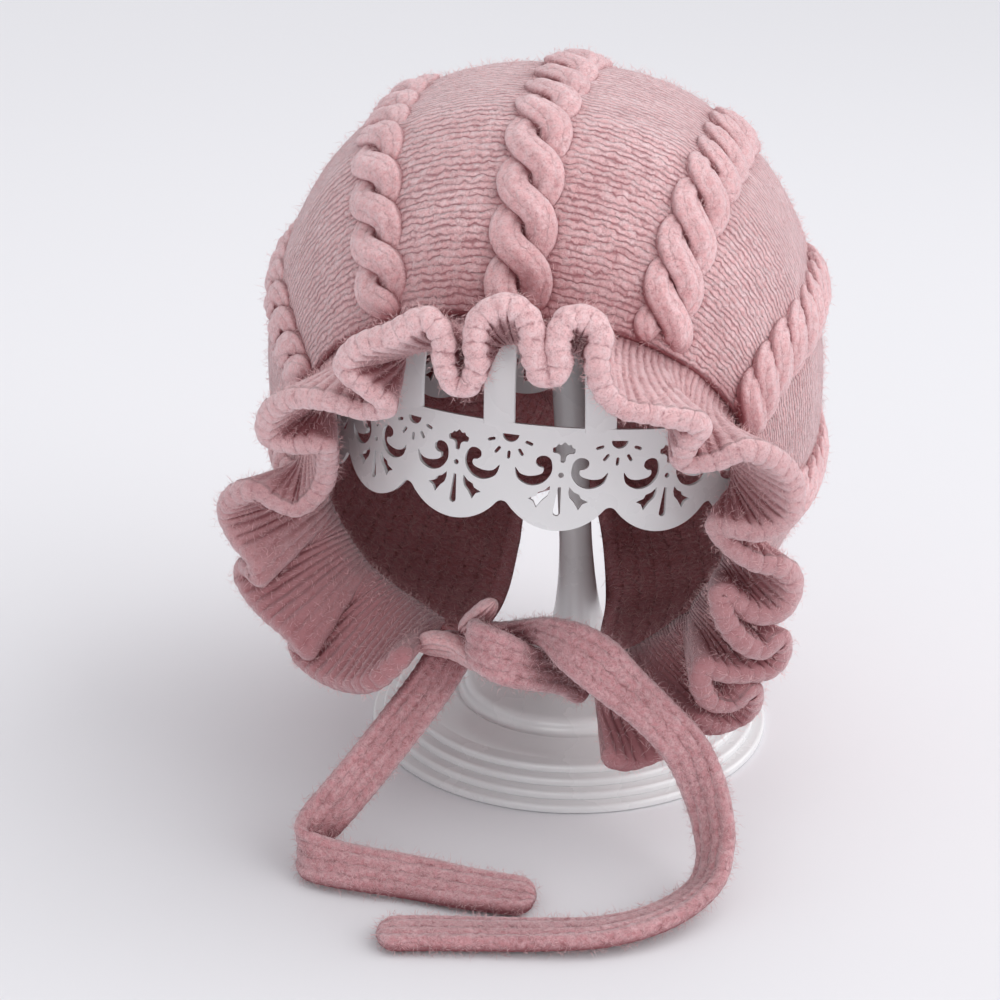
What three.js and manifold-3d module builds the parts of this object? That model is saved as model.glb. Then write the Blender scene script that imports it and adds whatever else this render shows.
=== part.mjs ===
// A knitted baby hood hat on its hat stand, built as separate closed solids.
// Millimetres, +Z up. The origin is the centre of the stand base's underside; the hood faces -Y.
import * as THREE from "three";
import { mergeVertices } from "three/addons/utils/BufferGeometryUtils.js";
import Module from "manifold-3d";

const wasm = await Module();
wasm.setup();

// ---------- driving dimensions ----------

const GAP = 0.3; // air between pieces that touch

// Stand base: a turned foot with stepped rim, dished top and a raised boss
const BASE_RADIUS = 62;
const STEP_COUNT = 4;
const STEP_TREAD = 3.4;
const STEP_RISE = 2.5;
const GROOVE_RADIUS = 34;
const BOSS_HEIGHT = 17;
const BASE_SIDES = 44;

// Post: flared foot, slightly bent towards -X on its way up
const POST_RADIUS = 5;
const POST_FOOT_X = 3;
const POST_TOP_X = -7;
const POST_BEND = 1.35; // exponent of the bend along the height
const POST_SIDES = 16;

// Cage: scalloped cut-work band, ribs over the top and a hub on the post
const BAND_RADIUS = 70; // outside of the band
const BAND_WALL = 1;
const BAND_HEIGHT = 29;
const LOBE_COUNT = 15;
const LOBE_DEPTH = 7.1;
const FLAT_SHARE = 0.25; // share of a lobe's width on its middle flat
const SPANDREL_STEPS = 4;
const BAND_FOOT = new THREE.Vector3(-2.8, 0, 87.7); // centre of the circle of lobe tips
const BAND_PITCH = -3.7;
const BAND_ROLL = 3;
const FIRST_CUSP = -39.6; // degrees from -Y, towards +X
const RIB_COUNT = 16;
const FIRST_RIB = -39.7; // degrees from -Y, towards +X
const RIB_WIDTH = 8.7;
const RIB_END_WIDTH = 4.4;
const RIB_WALL = 1.2;
const RIB_STEPS = 6;
const HUB_RADIUS = 12;
const HUB_HEIGHT = 3.5;
const HUB_TOP = 199.5;
const POST_TOP = HUB_TOP - HUB_HEIGHT - GAP;

// Hood: knitted cloth
const CLOTH = 3.6;
const HOOD_YAW = 11.5; // degrees that the face opening is turned towards -X
const HOOD_CENTRE_X = -7;
const HOOD_ROWS = 17;
const HOOD_COLUMNS = 36;

// The hood is a row of arches from the face edge back to the crown's end point.
// at: place along the hood, 0 face edge to 1 back point; top, side, low: depth of the arch there;
// mid: height of its widest place; rise: height above mid; wl, wr: half widths left and right;
// dl, dr: drops below mid; el, er: degrees round from the top to each free end; n: roundness;
// nr: roundness low on the right, where the cloth is drawn over the band.
const ARCH_COLUMNS = ["at", "top", "side", "low", "mid", "rise", "wl", "wr", "dl", "dr", "el", "er", "n", "nr"];
const ARCH_ROWS = [
  [0.0, -76, -43.5, -57, 98, 56, 65, 66, 49, 62, 162, 158.8, 2.15, 2.15],
  [0.1, -64, -36, -45, 103, 77, 72, 72, 58, 64, 170.3, 160.6, 2.2, 2.2],
  [0.25, -38, -20, -26, 109, 92, 80, 79, 68, 70, 171.3, 165, 2.2, 2.5],
  [0.42, -4, 0, 0, 113, 92, 83, 80.5, 74, 74, 171.3, 167, 2.2, 2.7],
  [0.6, 30, 26, 26, 115, 84, 80, 78, 71, 71, 170, 170, 2.15, 2.8],
  [0.76, 56, 50, 52, 116, 66, 64, 65, 66, 66, 166.6, 174, 2.1, 2.8],
  [0.88, 74, 69, 72, 118, 42, 42, 44, 62, 62, 180, 180, 2.05, 2.4],
  [1.0, 84, 84, 84, 120, 0, 0, 0, 0, 0, 180, 180, 2.0, 2.0],
];
const NAPE_AT = 0.88; // behind this the two free edges are sewn together

// Frill: ribbed strip gathered on the face edge. Each row is one fold, as the bends of its free edge:
// [round] degrees round the face edge, [turn] 0 straight out of the cloth to 90 straight ahead,
// [reach] distance from the face edge.
const FRILL_CLOTH = 4.8;
const FRILL_LEAD = 8; // how far the strip follows the cloth before it turns
const FRILL_EASE = 28; // length over which the gathers are evened out
const FRILL_ROWS = 152;
const FRILL_COLUMNS = 3;
const FRILL_FOLDS = [
  [[-160.5, 80, 27], [-156, 50, 30], [-150, 31, 30], [-139, 20, 30], [-129, 10, 30], [-121, 4, 30]],
  [[-117.5, 16, 28], [-112, 22, 30], [-106, 14, 30], [-97, 10, 30], [-89, 17, 30]],
  [[-81, 37, 30], [-86, 48, 30], [-90, 59, 30], [-82, 72, 30], [-70, 77, 30], [-58, 74, 30]],
  [[-48, 64, 30], [-55, 50, 30], [-58, 37, 30], [-51, 30, 30], [-41, 31, 30], [-33, 40, 30]],
  [[-26, 54, 30], [-19.5, 53, 30], [-22.5, 36, 30], [-25, 25, 30], [-21, 16, 30]],
  [[-14, 11, 30], [-7.5, 4, 30], [-5, 13, 30], [-5.2, 27, 30], [-4, 39, 30], [-1.6, 39, 30], [0.2, 27, 30]],
  [[-0.2, 14, 30], [0.6, 2, 30], [4.8, -5, 30], [8.2, 2, 30], [9.2, 17, 30], [11.2, 28.5, 30]],
  [[13.6, 24, 30], [12.4, 9, 30], [13.3, -1.5, 30], [16.6, -4, 30], [18.8, 3, 30], [19, 15, 30]],
  [[21.5, 30, 30], [26.4, 38, 30], [33, 35, 30], [42.3, 30, 30], [43.5, 45, 30], [47.5, 56, 30]],
  [[51.6, 42, 30], [53.5, 27, 30], [61, 19, 30], [70, 18, 30], [79, 25, 30], [83, 41, 30], [80, 57, 30]],
  [[80.7, 67.9, 29], [91.7, 56, 30], [96.5, 42.7, 30], [97.2, 30.5, 30], [100.8, 23, 30], [106.5, 23.2, 30]],
  [[111.4, 30.5, 30], [114.1, 44.3, 29], [112.9, 57.3, 28], [111, 65.9, 29], [118.1, 65.7, 30], [121.7, 54.4, 30]],
  [[121, 39.4, 30], [117, 27.5, 30], [120.5, 23.4, 30], [124.1, 29.4, 30], [127.3, 43.9, 29], [130.5, 61.9, 28]],
  [[132.8, 78.8, 28], [136.3, 75.8, 28], [137, 62.1, 28], [133.9, 46.4, 29], [129.3, 39.4, 30], [131.8, 28.5, 30]],
  [[135.9, 24, 29], [139.7, 41.5, 28], [141.8, 60.7, 26]],
  [[147, 50, 26], [152, 56, 27], [156, 66, 27], [158.5, 78, 26]],
];

// Ties: flat knitted bands. Each row is one point of the route, how far the band leans there and its share of the width.
const TIE_WIDTH = 13;
const TIE_CLOTH = 4.6;
const TIE_SIDES = 10;
const TIE_STEP = 6;
const ROUTE_COLUMNS = ["x", "y", "z", "lean", "width"];
const LEFT_TIE_ROUTE = [
  [-35.6, -59.6, 50.9, 50, 1],
  [-41, -64.5, 43.5, 50, 1],
  [-49.5, -70.5, 34, 50, 1],
  [-58.5, -77, 24.5, 52, 1],
  [-66.5, -82.5, 16.5, 56, 1],
  [-72.5, -87, 11, 66, 1],
  [-75, -91.5, 8.2, 88, 1],
  [-73, -95.5, 6.9, 118, 1],
  [-67, -98, 6.2, 138, 1],
  [-58, -100, 5.5, 147, 1],
  [-48.8, -101.8, 4.9, 151, 1],
  [-40, -104, 4.4, 155, 1],
  [-31, -106.7, 4, 159, 1],
  [-21, -108.8, 3.6, 163, 1],
  [-12, -110.5, 3.3, 167, 1],
];
const RIGHT_TIE_ROUTE = [
  [3.3, -60.7, 40.8, 41, 1],
  [-2.2, -63.9, 44.5, 45, 1],
  [-6.6, -69, 49.4, 54, 0.95],
  [-12, -73.6, 52.8, 58, 0.95],
  [-18.2, -76.8, 56.4, 64, 1.05],
  [-24.2, -76.6, 59.4, 74, 1.08],
  [-28.8, -72.6, 60.6, 86, 1],
  [-26.6, -67.4, 59, 96, 0.8],
  [-20, -65, 59, 100, 0.6],
  [-13.6, -67.2, 61.2, 104, 0.55],
  [-8.6, -72, 63, 116, 0.7],
  [-2.6, -77.4, 62, 125, 1.05],
  [4.4, -80.8, 58.4, 130, 1.2],
  [11, -83.2, 53, 130, 1.1],
  [19, -84.8, 46, 131, 1],
  [28.2, -88, 36.6, 132, 1],
  [32.8, -92.5, 28.5, 132, 1],
  [35.4, -98, 20.5, 130, 1],
  [36, -103.5, 13.3, 135, 1],
  [33.6, -109.5, 8, 148, 1],
  [27.2, -116, 5.5, 158, 1],
  [17.4, -122.5, 4.3, 166, 1],
  [4.3, -126.5, 3.5, 172, 1],
  [-11.3, -127, 3.1, 176, 1],
  [-27, -126.3, 2.8, 178, 1],
  [-42.5, -125.8, 2.7, 180, 1],
  [-54, -126, 2.7, 180, 1],
];

// ---------- materials ----------

const knit = (name, color) => new THREE.MeshStandardMaterial({ name, color, roughness: 0.95, metalness: 0 });
const HOOD_KNIT = knit("hood_knit", 0xc98e8e);
const FRILL_KNIT = knit("frill_knit", 0xc58989);
const TIE_KNIT = knit("tie_knit", 0xa9686c);
const WHITE_PAINT = new THREE.MeshStandardMaterial({ name: "white_paint", color: 0xe9e9ea, roughness: 0.3, metalness: 0 });

// ---------- helpers ----------

const radians = THREE.MathUtils.degToRad;

function named(name, geometry, material) {
  const mesh = new THREE.Mesh(geometry, material);
  mesh.name = name;
  return mesh;
}

// Rows of numbers become one list per named column.
function columns(names, rows) {
  return Object.fromEntries(names.map((name, k) => [name, rows.map((row) => row[k])]));
}

// Smooth curve through (xs, ys) that never swings past its points.
function monotone(xs, ys) {
  const last = xs.length - 1;
  const step = (k) => xs[k + 1] - xs[k];
  const slope = (k) => (ys[k + 1] - ys[k]) / step(k);
  const end = (near, far, a, b) => {
    const s = ((2 * near + far) * a - near * b) / (near + far);
    if (s * a <= 0) return 0;
    return a * b <= 0 && Math.abs(s) > 3 * Math.abs(a) ? 3 * a : s;
  };
  const tangent = xs.map((_, k) => {
    if (k === 0) return end(step(0), step(1), slope(0), slope(1));
    if (k === last) return end(step(last - 1), step(last - 2), slope(last - 1), slope(last - 2));
    const a = slope(k - 1);
    const b = slope(k);
    if (a * b <= 0) return 0;
    const wa = 2 * step(k) + step(k - 1);
    const wb = step(k) + 2 * step(k - 1);
    return (wa + wb) / (wa / a + wb / b);
  });
  return (x) => {
    let k = 0;
    while (k < last - 1 && x > xs[k + 1]) k += 1;
    const h = step(k);
    const s = (x - xs[k]) / h;
    const rise = s * s * (3 - 2 * s);
    const lead = s * (1 - s) * (1 - s) * h * tangent[k];
    const trail = s * s * (s - 1) * h * tangent[k + 1];
    return ys[k] + rise * (ys[k + 1] - ys[k]) + lead + trail;
  };
}

// A closed geometry from points and quads or triangles of point numbers.
function solidOfFaces(points, faces) {
  const index = [];
  for (const f of faces) {
    for (let k = 1; k + 1 < f.length; k += 1) {
      const [a, b, c] = [f[0], f[k], f[k + 1]];
      if (a !== b && b !== c && c !== a) index.push(a, b, c);
    }
  }
  const geometry = new THREE.BufferGeometry().setFromPoints(points);
  geometry.setIndex(index);
  geometry.computeVertexNormals();
  return geometry;
}

// A lathed solid about Z from a profile of [radius, height].
function turned(profile, sides) {
  const points = profile.map(([r, z]) => new THREE.Vector2(r, z));
  return new THREE.LatheGeometry(points, sides).rotateX(Math.PI / 2);
}

// ---------- booleans ----------

function toManifold(geometry) {
  const bare = geometry.clone();
  bare.deleteAttribute("normal");
  bare.deleteAttribute("uv");
  const merged = mergeVertices(bare, 1e-4);
  const vertProperties = merged.attributes.position.array;
  const triVerts = new Uint32Array(merged.index.array);
  return new wasm.Manifold(new wasm.Mesh({ numProp: 3, vertProperties, triVerts }));
}

function toGeometry(manifold) {
  const mesh = manifold.getMesh();
  const geometry = new THREE.BufferGeometry();
  geometry.setAttribute("position", new THREE.BufferAttribute(new Float32Array(mesh.vertProperties), 3));
  geometry.setIndex(new THREE.BufferAttribute(new Uint32Array(mesh.triVerts), 1));
  geometry.computeVertexNormals();
  return geometry;
}

// ---------- stand ----------

function baseGeometry() {
  const profile = [[0, 0], [BASE_RADIUS - 0.8, 0]];
  for (let k = 0; k < STEP_COUNT; k += 1) {
    const r = BASE_RADIUS - k * STEP_TREAD;
    const z = k * STEP_RISE;
    profile.push([r, z + 0.9], [r - 0.9, z + STEP_RISE]);
  }
  const rim = STEP_COUNT * STEP_RISE;
  profile.push([GROOVE_RADIUS + 6, rim + 0.6], [GROOVE_RADIUS + 0.4, rim]);
  profile.push([GROOVE_RADIUS, rim + 2], [GROOVE_RADIUS - 1.8, rim + 3.6], [GROOVE_RADIUS - 5, rim + 4.6]);
  profile.push([20, BOSS_HEIGHT - 1], [13, BOSS_HEIGHT], [0, BOSS_HEIGHT]);
  return turned(profile, BASE_SIDES);
}

function postGeometry() {
  const foot = BOSS_HEIGHT + GAP;
  const profile = [[0, foot], [12.4, foot], [11, 22], [8.9, 30], [6.9, 39], [5.6, 50], [POST_RADIUS, 62]];
  profile.push([POST_RADIUS, 90], [POST_RADIUS, 120], [POST_RADIUS, 150], [POST_RADIUS, POST_TOP], [0, POST_TOP]);
  const geometry = turned(profile, POST_SIDES);
  const position = geometry.attributes.position;
  for (let k = 0; k < position.count; k += 1) {
    const along = (position.getZ(k) - foot) / (POST_TOP - foot);
    const shift = POST_FOOT_X + (POST_TOP_X - POST_FOOT_X) * Math.max(0, along) ** POST_BEND;
    position.setX(k, position.getX(k) + shift);
  }
  return geometry;
}

const LOBE_ANGLE = (2 * Math.PI) / LOBE_COUNT;
const BAND_TURN = new THREE.Matrix4()
  .makeRotationFromEuler(new THREE.Euler(radians(BAND_PITCH), radians(BAND_ROLL), 0, "XYZ"))
  .setPosition(BAND_FOOT);

// A point of the level band: angle from -Y towards +X, radius, height above the lobe tips.
function bandPoint(angle, radius, height) {
  return new THREE.Vector3(radius * Math.sin(angle), -radius * Math.cos(angle), height);
}

// The band as a plain hoop, with three flats to each lobe so that few cuts run over a corner.
function bandWall() {
  const corners = [0, 0.5 - FLAT_SHARE / 2, 0.5 + FLAT_SHARE / 2];
  const sides = LOBE_COUNT * corners.length;
  const points = [];
  const faces = [];
  for (let k = 0; k < sides; k += 1) {
    const angle = radians(FIRST_CUSP) + (Math.floor(k / 3) + corners[k % 3]) * LOBE_ANGLE;
    for (const radius of [BAND_RADIUS, BAND_RADIUS - BAND_WALL]) {
      points.push(bandPoint(angle, radius, 0), bandPoint(angle, radius, BAND_HEIGHT));
    }
    const [lo, hi, loIn, hiIn] = [0, 1, 2, 3].map((j) => 4 * k + j);
    const [lo2, hi2, loIn2, hiIn2] = [0, 1, 2, 3].map((j) => 4 * ((k + 1) % sides) + j);
    faces.push([lo, lo2, hi2, hi], [loIn2, loIn, hiIn, hiIn2], [hi, hi2, hiIn2, hiIn], [lo2, lo, loIn, loIn2]);
  }
  return toManifold(solidOfFaces(points, faces));
}

// Cut-work of one lobe: outlines of [across, up] from the lobe's middle and tip.
const SCROLL = [[4, 19.4], [7, 20.2], [6.4, 17], [12.4, 16.6], [11.6, 13], [7.4, 12]];
const mirrored = (outline) => outline.map(([s, z]) => [-s, z]).reverse();
const LOBE_CUTS = [
  SCROLL,
  mirrored(SCROLL),
  [[-0.8, 5.2], [0.8, 5.2], [0.9, 11.4], [-0.9, 11.4]],
  [[-1, 20.4], [1, 20.4], [3.2, 23.4], [0, 25.8], [-3.2, 23.4]],
];
const HALF_LOBE = BAND_RADIUS * (LOBE_ANGLE / 2);

// The gap below a cusp, between two rounded lobes.
const SPANDREL = [[-HALF_LOBE, -3], [HALF_LOBE, -3]];
for (let k = SPANDREL_STEPS; k >= -SPANDREL_STEPS; k -= 1) {
  const s = (k / SPANDREL_STEPS) * HALF_LOBE;
  const fromMiddle = 1 - Math.abs(k) / SPANDREL_STEPS;
  SPANDREL.push([s, LOBE_DEPTH * (1 - Math.sqrt(1 - fromMiddle ** 2)) - 0.02]);
}
const CUSP_CUTS = [SPANDREL, [[-2.2, 23.6], [2.2, 23.6], [1.3, 25.6], [-1.3, 25.6]]];

function cutter(outline, angle) {
  const shape = new THREE.Shape(outline.map(([s, z]) => new THREE.Vector2(s, z)));
  const depth = 4 * BAND_WALL;
  const prism = new THREE.ExtrudeGeometry(shape, { depth, bevelEnabled: false });
  prism.rotateX(Math.PI / 2).translate(0, -BAND_RADIUS + depth - BAND_WALL, 0).rotateZ(angle);
  return toManifold(prism);
}

// One rib: a flat strip from the band's top edge, bending in to the hub.
function rib(angle) {
  const foot = bandPoint(angle, BAND_RADIUS - BAND_WALL / 2, BAND_HEIGHT - 1).applyMatrix4(BAND_TURN);
  const hub = new THREE.Vector3(POST_TOP_X, 0, HUB_TOP - HUB_HEIGHT / 2);
  const out = new THREE.Vector3(foot.x - hub.x, foot.y - hub.y, 0);
  const across = new THREE.Vector3(out.y, -out.x, 0).normalize();
  const points = [];
  for (let k = 0; k <= RIB_STEPS; k += 1) {
    const t = ((k / RIB_STEPS) * Math.PI) / 2;
    const centre = new THREE.Vector3(hub.x, hub.y, foot.z).addScaledVector(out, Math.cos(t));
    centre.z += (hub.z - foot.z) * Math.sin(t);
    const face = new THREE.Vector3(out.x, out.y, 0).normalize().multiplyScalar(Math.cos(t));
    face.z = Math.sin(t);
    const width = THREE.MathUtils.lerp(RIB_WIDTH, RIB_END_WIDTH, Math.max(0, 2 * (k / RIB_STEPS) - 1));
    for (const [w, f] of [[-1, -1], [1, -1], [1, 1], [-1, 1]]) {
      const corner = centre.clone().addScaledVector(across, (w * width) / 2);
      points.push(corner.addScaledVector(face, (f * RIB_WALL) / 2));
    }
  }
  const faces = [[3, 2, 1, 0]];
  for (let k = 0; k < RIB_STEPS; k += 1) {
    for (let j = 0; j < 4; j += 1) {
      const [a, b] = [4 * k + j, 4 * k + ((j + 1) % 4)];
      faces.push([a, b, b + 4, a + 4]);
    }
  }
  const end = 4 * RIB_STEPS;
  faces.push([end, end + 1, end + 2, end + 3]);
  return toManifold(solidOfFaces(points, faces));
}

function cageGeometry() {
  const cuts = [];
  for (let k = 0; k < LOBE_COUNT; k += 1) {
    const cusp = radians(FIRST_CUSP) + k * LOBE_ANGLE;
    LOBE_CUTS.forEach((outline) => cuts.push(cutter(outline, cusp + LOBE_ANGLE / 2)));
    CUSP_CUTS.forEach((outline) => cuts.push(cutter(outline, cusp)));
  }
  const ribs = Array.from({ length: RIB_COUNT }, (_, k) => rib(radians(FIRST_RIB + (360 / RIB_COUNT) * k)));
  const hub = new THREE.CylinderGeometry(HUB_RADIUS, HUB_RADIUS, HUB_HEIGHT, 24).rotateX(Math.PI / 2);
  hub.translate(POST_TOP_X, 0, HUB_TOP - HUB_HEIGHT / 2);
  const pierced = bandWall().subtract(wasm.Manifold.union(cuts)).transform(BAND_TURN.elements);
  return toGeometry(wasm.Manifold.union([pierced, toManifold(hub), ...ribs]));
}

// ---------- hood ----------

const ARCH = columns(ARCH_COLUMNS, ARCH_ROWS);
const archAt = Object.fromEntries(ARCH_COLUMNS.slice(1).map((name) => [name, monotone(ARCH.at, ARCH[name])]));

// The outside of the hood: at along it, turn in radians round the arch from its top, + to the right.
function hoodPoint(at, turn) {
  const a = Object.fromEntries(ARCH_COLUMNS.slice(1).map((name) => [name, archAt[name](at)]));
  const s = Math.sin(turn);
  const c = Math.cos(turn);
  const left = turn < 0;
  const n = left || c > 0 ? a.n : a.nr;
  const round = (Math.abs(s) ** n + Math.abs(c) ** n) ** (-1 / n);
  const across = (left ? a.wl : a.wr) * round * s;
  const below = left ? a.dl : a.dr;
  const height = a.mid + (c > 0 ? a.rise : below) * round * c;
  const mean = (a.top + a.low + 2 * a.side) / 4;
  const depth = mean + ((a.top - a.low) / 2) * c + ((a.top + a.low - 2 * a.side) / 4) * Math.cos(2 * turn);
  const yaw = radians(HOOD_YAW);
  const x = HOOD_CENTRE_X + across * Math.cos(yaw) + depth * Math.sin(yaw);
  const y = -across * Math.sin(yaw) + depth * Math.cos(yaw);
  return new THREE.Vector3(x, y, height);
}

const BACK = new THREE.Vector3(Math.sin(radians(HOOD_YAW)), Math.cos(radians(HOOD_YAW)), 0);

function hoodNormal(at, turn) {
  if (at > 0.97) return BACK.clone();
  const [d, e] = [0.004, 0.02];
  const before = Math.max(0, at - d);
  const along = hoodPoint(at + d, turn).sub(hoodPoint(before, turn));
  const round = hoodPoint(at, turn + e).sub(hoodPoint(at, turn - e));
  return round.cross(along).normalize();
}

function hoodGeometry() {
  const points = [];
  const faces = [];
  const place = [];
  const napeRow = Math.round(NAPE_AT * HOOD_ROWS);
  for (let i = 0; i <= HOOD_ROWS; i += 1) {
    const at = i === napeRow ? NAPE_AT : i / HOOD_ROWS;
    const sewn = i >= napeRow;
    place.push([]);
    for (let j = 0; j <= HOOD_COLUMNS; j += 1) {
      const side = (2 * j) / HOOD_COLUMNS - 1;
      const turn = side * radians(side < 0 ? archAt.el(at) : archAt.er(at));
      if (i === HOOD_ROWS && j > 0) {
        place[i].push(place[i][0]);
      } else if (sewn && j === HOOD_COLUMNS) {
        place[i].push(place[i][0]);
      } else {
        const outside = hoodPoint(at, turn);
        place[i].push(points.length);
        points.push(outside, outside.clone().addScaledVector(hoodNormal(at, turn), -CLOTH));
      }
    }
  }
  const wall = (a, b, c, d) => faces.push([a, b, c, d], [d + 1, c + 1, b + 1, a + 1]);
  const rim = (a, b) => faces.push([b, a, a + 1, b + 1]);
  for (let i = 0; i < HOOD_ROWS; i += 1) {
    for (let j = 0; j < HOOD_COLUMNS; j += 1) {
      wall(place[i][j], place[i][j + 1], place[i + 1][j + 1], place[i + 1][j]);
      if (i === 0) rim(place[0][j], place[0][j + 1]);
    }
    if (i < napeRow) {
      rim(place[i + 1][0], place[i][0]);
      rim(place[i][HOOD_COLUMNS], place[i + 1][HOOD_COLUMNS]);
    }
  }
  return solidOfFaces(points, faces);
}

// ---------- frill ----------

// The face edge at a turn in degrees, with its directions: ahead of the cloth and out of it.
function faceEdge(degrees) {
  const turn = radians(degrees);
  const edge = hoodPoint(0, turn);
  const round = hoodPoint(0, turn + 0.01).sub(hoodPoint(0, turn - 0.01)).normalize();
  const ahead = edge.clone().sub(hoodPoint(0.03, turn));
  ahead.addScaledVector(round, -ahead.dot(round)).normalize();
  return { edge, ahead, out: ahead.clone().cross(round) };
}

// Evens out a list by a bell-shaped average, keeping both ends and never turning back.
function evened(values, spread) {
  const reach = Math.ceil(3 * spread);
  const last = values.length - 1;
  const at = (k) => {
    if (k < 0) return 2 * values[0] - values[Math.min(last, -k)];
    if (k > last) return 2 * values[last] - values[Math.max(0, 2 * last - k)];
    return values[k];
  };
  let most = values[0];
  return values.map((_, k) => {
    let sum = 0;
    let weight = 0;
    for (let j = -reach; j <= reach; j += 1) {
      const w = Math.exp(-0.5 * (j / spread) ** 2);
      sum += w * at(k + j);
      weight += w;
    }
    most = Math.min(values[last], Math.max(most, sum / weight));
    return most;
  });
}

function frillGeometry() {
  const bends = FRILL_FOLDS.flat();
  const freePoints = bends.map(([round, turn, reach]) => {
    const { edge, ahead, out } = faceEdge(round);
    const t = radians(turn);
    return edge.addScaledVector(out, reach * Math.cos(t)).addScaledVector(ahead, reach * Math.sin(t));
  });
  const free = new THREE.CatmullRomCurve3(freePoints, false, "centripetal");
  free.arcLengthDivisions = 2000;
  const rounds = [];
  for (let k = 0; k <= FRILL_ROWS; k += 1) {
    const t = free.getUtoTmapping(k / FRILL_ROWS) * (bends.length - 1);
    const i = Math.min(bends.length - 2, Math.floor(t));
    rounds.push(THREE.MathUtils.lerp(bends[i][0], bends[i + 1][0], t - i));
  }
  const seams = evened(rounds, (FRILL_EASE * FRILL_ROWS) / free.getLength());
  const strips = seams.map((seam, k) => {
    const { edge, ahead, out } = faceEdge(seam);
    const start = edge.addScaledVector(out, -CLOTH / 2).addScaledVector(ahead, 2 * GAP);
    const lead = start.clone().addScaledVector(ahead, FRILL_LEAD);
    return new THREE.QuadraticBezierCurve3(start, lead, free.getPointAt(k / FRILL_ROWS));
  });
  const points = [];
  for (let i = 0; i <= FRILL_ROWS; i += 1) {
    const before = strips[Math.max(0, i - 1)];
    const after = strips[Math.min(FRILL_ROWS, i + 1)];
    for (let j = 0; j <= FRILL_COLUMNS; j += 1) {
      const t = j / FRILL_COLUMNS;
      const along = after.getPoint(t).sub(before.getPoint(t));
      const normal = along.cross(strips[i].getTangent(t)).normalize();
      for (const side of [1, -1]) {
        points.push(strips[i].getPoint(t).addScaledVector(normal, (side * FRILL_CLOTH) / 2));
      }
    }
  }
  const at = (i, j) => 2 * (i * (FRILL_COLUMNS + 1) + j);
  const faces = [];
  for (let i = 0; i < FRILL_ROWS; i += 1) {
    for (let j = 0; j < FRILL_COLUMNS; j += 1) {
      const [a, b, c, d] = [at(i, j), at(i + 1, j), at(i + 1, j + 1), at(i, j + 1)];
      faces.push([a, b, c, d], [d + 1, c + 1, b + 1, a + 1]);
    }
    const [s, s2] = [at(i, 0), at(i + 1, 0)];
    const [f, f2] = [at(i, FRILL_COLUMNS), at(i + 1, FRILL_COLUMNS)];
    faces.push([s2, s, s + 1, s2 + 1], [f, f2, f2 + 1, f + 1]);
  }
  for (let j = 0; j < FRILL_COLUMNS; j += 1) {
    const [a, b] = [at(0, j), at(0, j + 1)];
    const [c, d] = [at(FRILL_ROWS, j), at(FRILL_ROWS, j + 1)];
    faces.push([a, b, b + 1, a + 1], [d, c, c + 1, d + 1]);
  }
  return solidOfFaces(points, faces);
}

// ---------- ties ----------

// A route whose band keeps the lean and the share of its width given at each of its points.
class BandRoute extends THREE.CatmullRomCurve3 {
  constructor(rows) {
    super(rows.map(([x, y, z]) => new THREE.Vector3(x, y, z)), false, "centripetal");
    this.lean = rows.map((row) => row[ROUTE_COLUMNS.indexOf("lean")]);
    this.width = rows.map((row) => row[ROUTE_COLUMNS.indexOf("width")]);
  }

  computeFrenetFrames(segments) {
    const [tangents, normals, binormals] = [[], [], []];
    for (let k = 0; k <= segments; k += 1) {
      const tangent = this.getTangentAt(k / segments);
      const level = new THREE.Vector3(tangent.y, -tangent.x, 0).normalize();
      const t = this.getUtoTmapping(k / segments) * (this.lean.length - 1);
      const i = Math.min(this.lean.length - 2, Math.floor(t));
      const lean = radians(THREE.MathUtils.lerp(this.lean[i], this.lean[i + 1], t - i));
      const up = level.clone().cross(tangent);
      const across = level.multiplyScalar(Math.cos(lean)).addScaledVector(up, Math.sin(lean));
      tangents.push(tangent);
      binormals.push(tangent.clone().cross(across));
      normals.push(across.multiplyScalar(THREE.MathUtils.lerp(this.width[i], this.width[i + 1], t - i)));
    }
    return { tangents, normals, binormals };
  }
}

function tieGeometry(rows) {
  const outline = [];
  for (let k = 0; k < TIE_SIDES; k += 1) {
    const a = (2 * Math.PI * (k + 0.5)) / TIE_SIDES;
    const square = (v) => Math.sign(v) * Math.abs(v) ** 0.7;
    outline.push(new THREE.Vector2((TIE_WIDTH / 2) * square(Math.cos(a)), (TIE_CLOTH / 2) * square(Math.sin(a))));
  }
  const extrudePath = new BandRoute(rows);
  const steps = Math.round(extrudePath.getLength() / TIE_STEP);
  return new THREE.ExtrudeGeometry(new THREE.Shape(outline), { steps, extrudePath, bevelEnabled: false });
}

// ---------- assembly ----------

const hat = new THREE.Group();
hat.add(
  named("hood_shell", hoodGeometry(), HOOD_KNIT),
  named("face_frill", frillGeometry(), FRILL_KNIT),
  named("left_tie", tieGeometry(LEFT_TIE_ROUTE), TIE_KNIT),
  named("right_tie", tieGeometry(RIGHT_TIE_ROUTE), TIE_KNIT),
);

const stand = new THREE.Group();
stand.add(
  named("stand_base", baseGeometry(), WHITE_PAINT),
  named("stand_post", postGeometry(), WHITE_PAINT),
  named("stand_cage", cageGeometry(), WHITE_PAINT),
);

const hatOnStand = new THREE.Group();
hatOnStand.add(hat, stand);
export default hatOnStand;
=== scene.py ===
"""A knitted baby hood with a cable pattern, a ribbed frill and two ties, on a white metal hat stand.

Everything is in metres, with Z up and the middle of the stand's underside at the origin.
"""

import math

import bmesh
import bpy
import numpy as np
from bpy.props import (
    FloatProperty,
    FloatVectorProperty,
    IntProperty,
    PointerProperty,
)
from mathutils import Matrix, Vector
from mathutils.geometry import delaunay_2d_cdt


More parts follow.
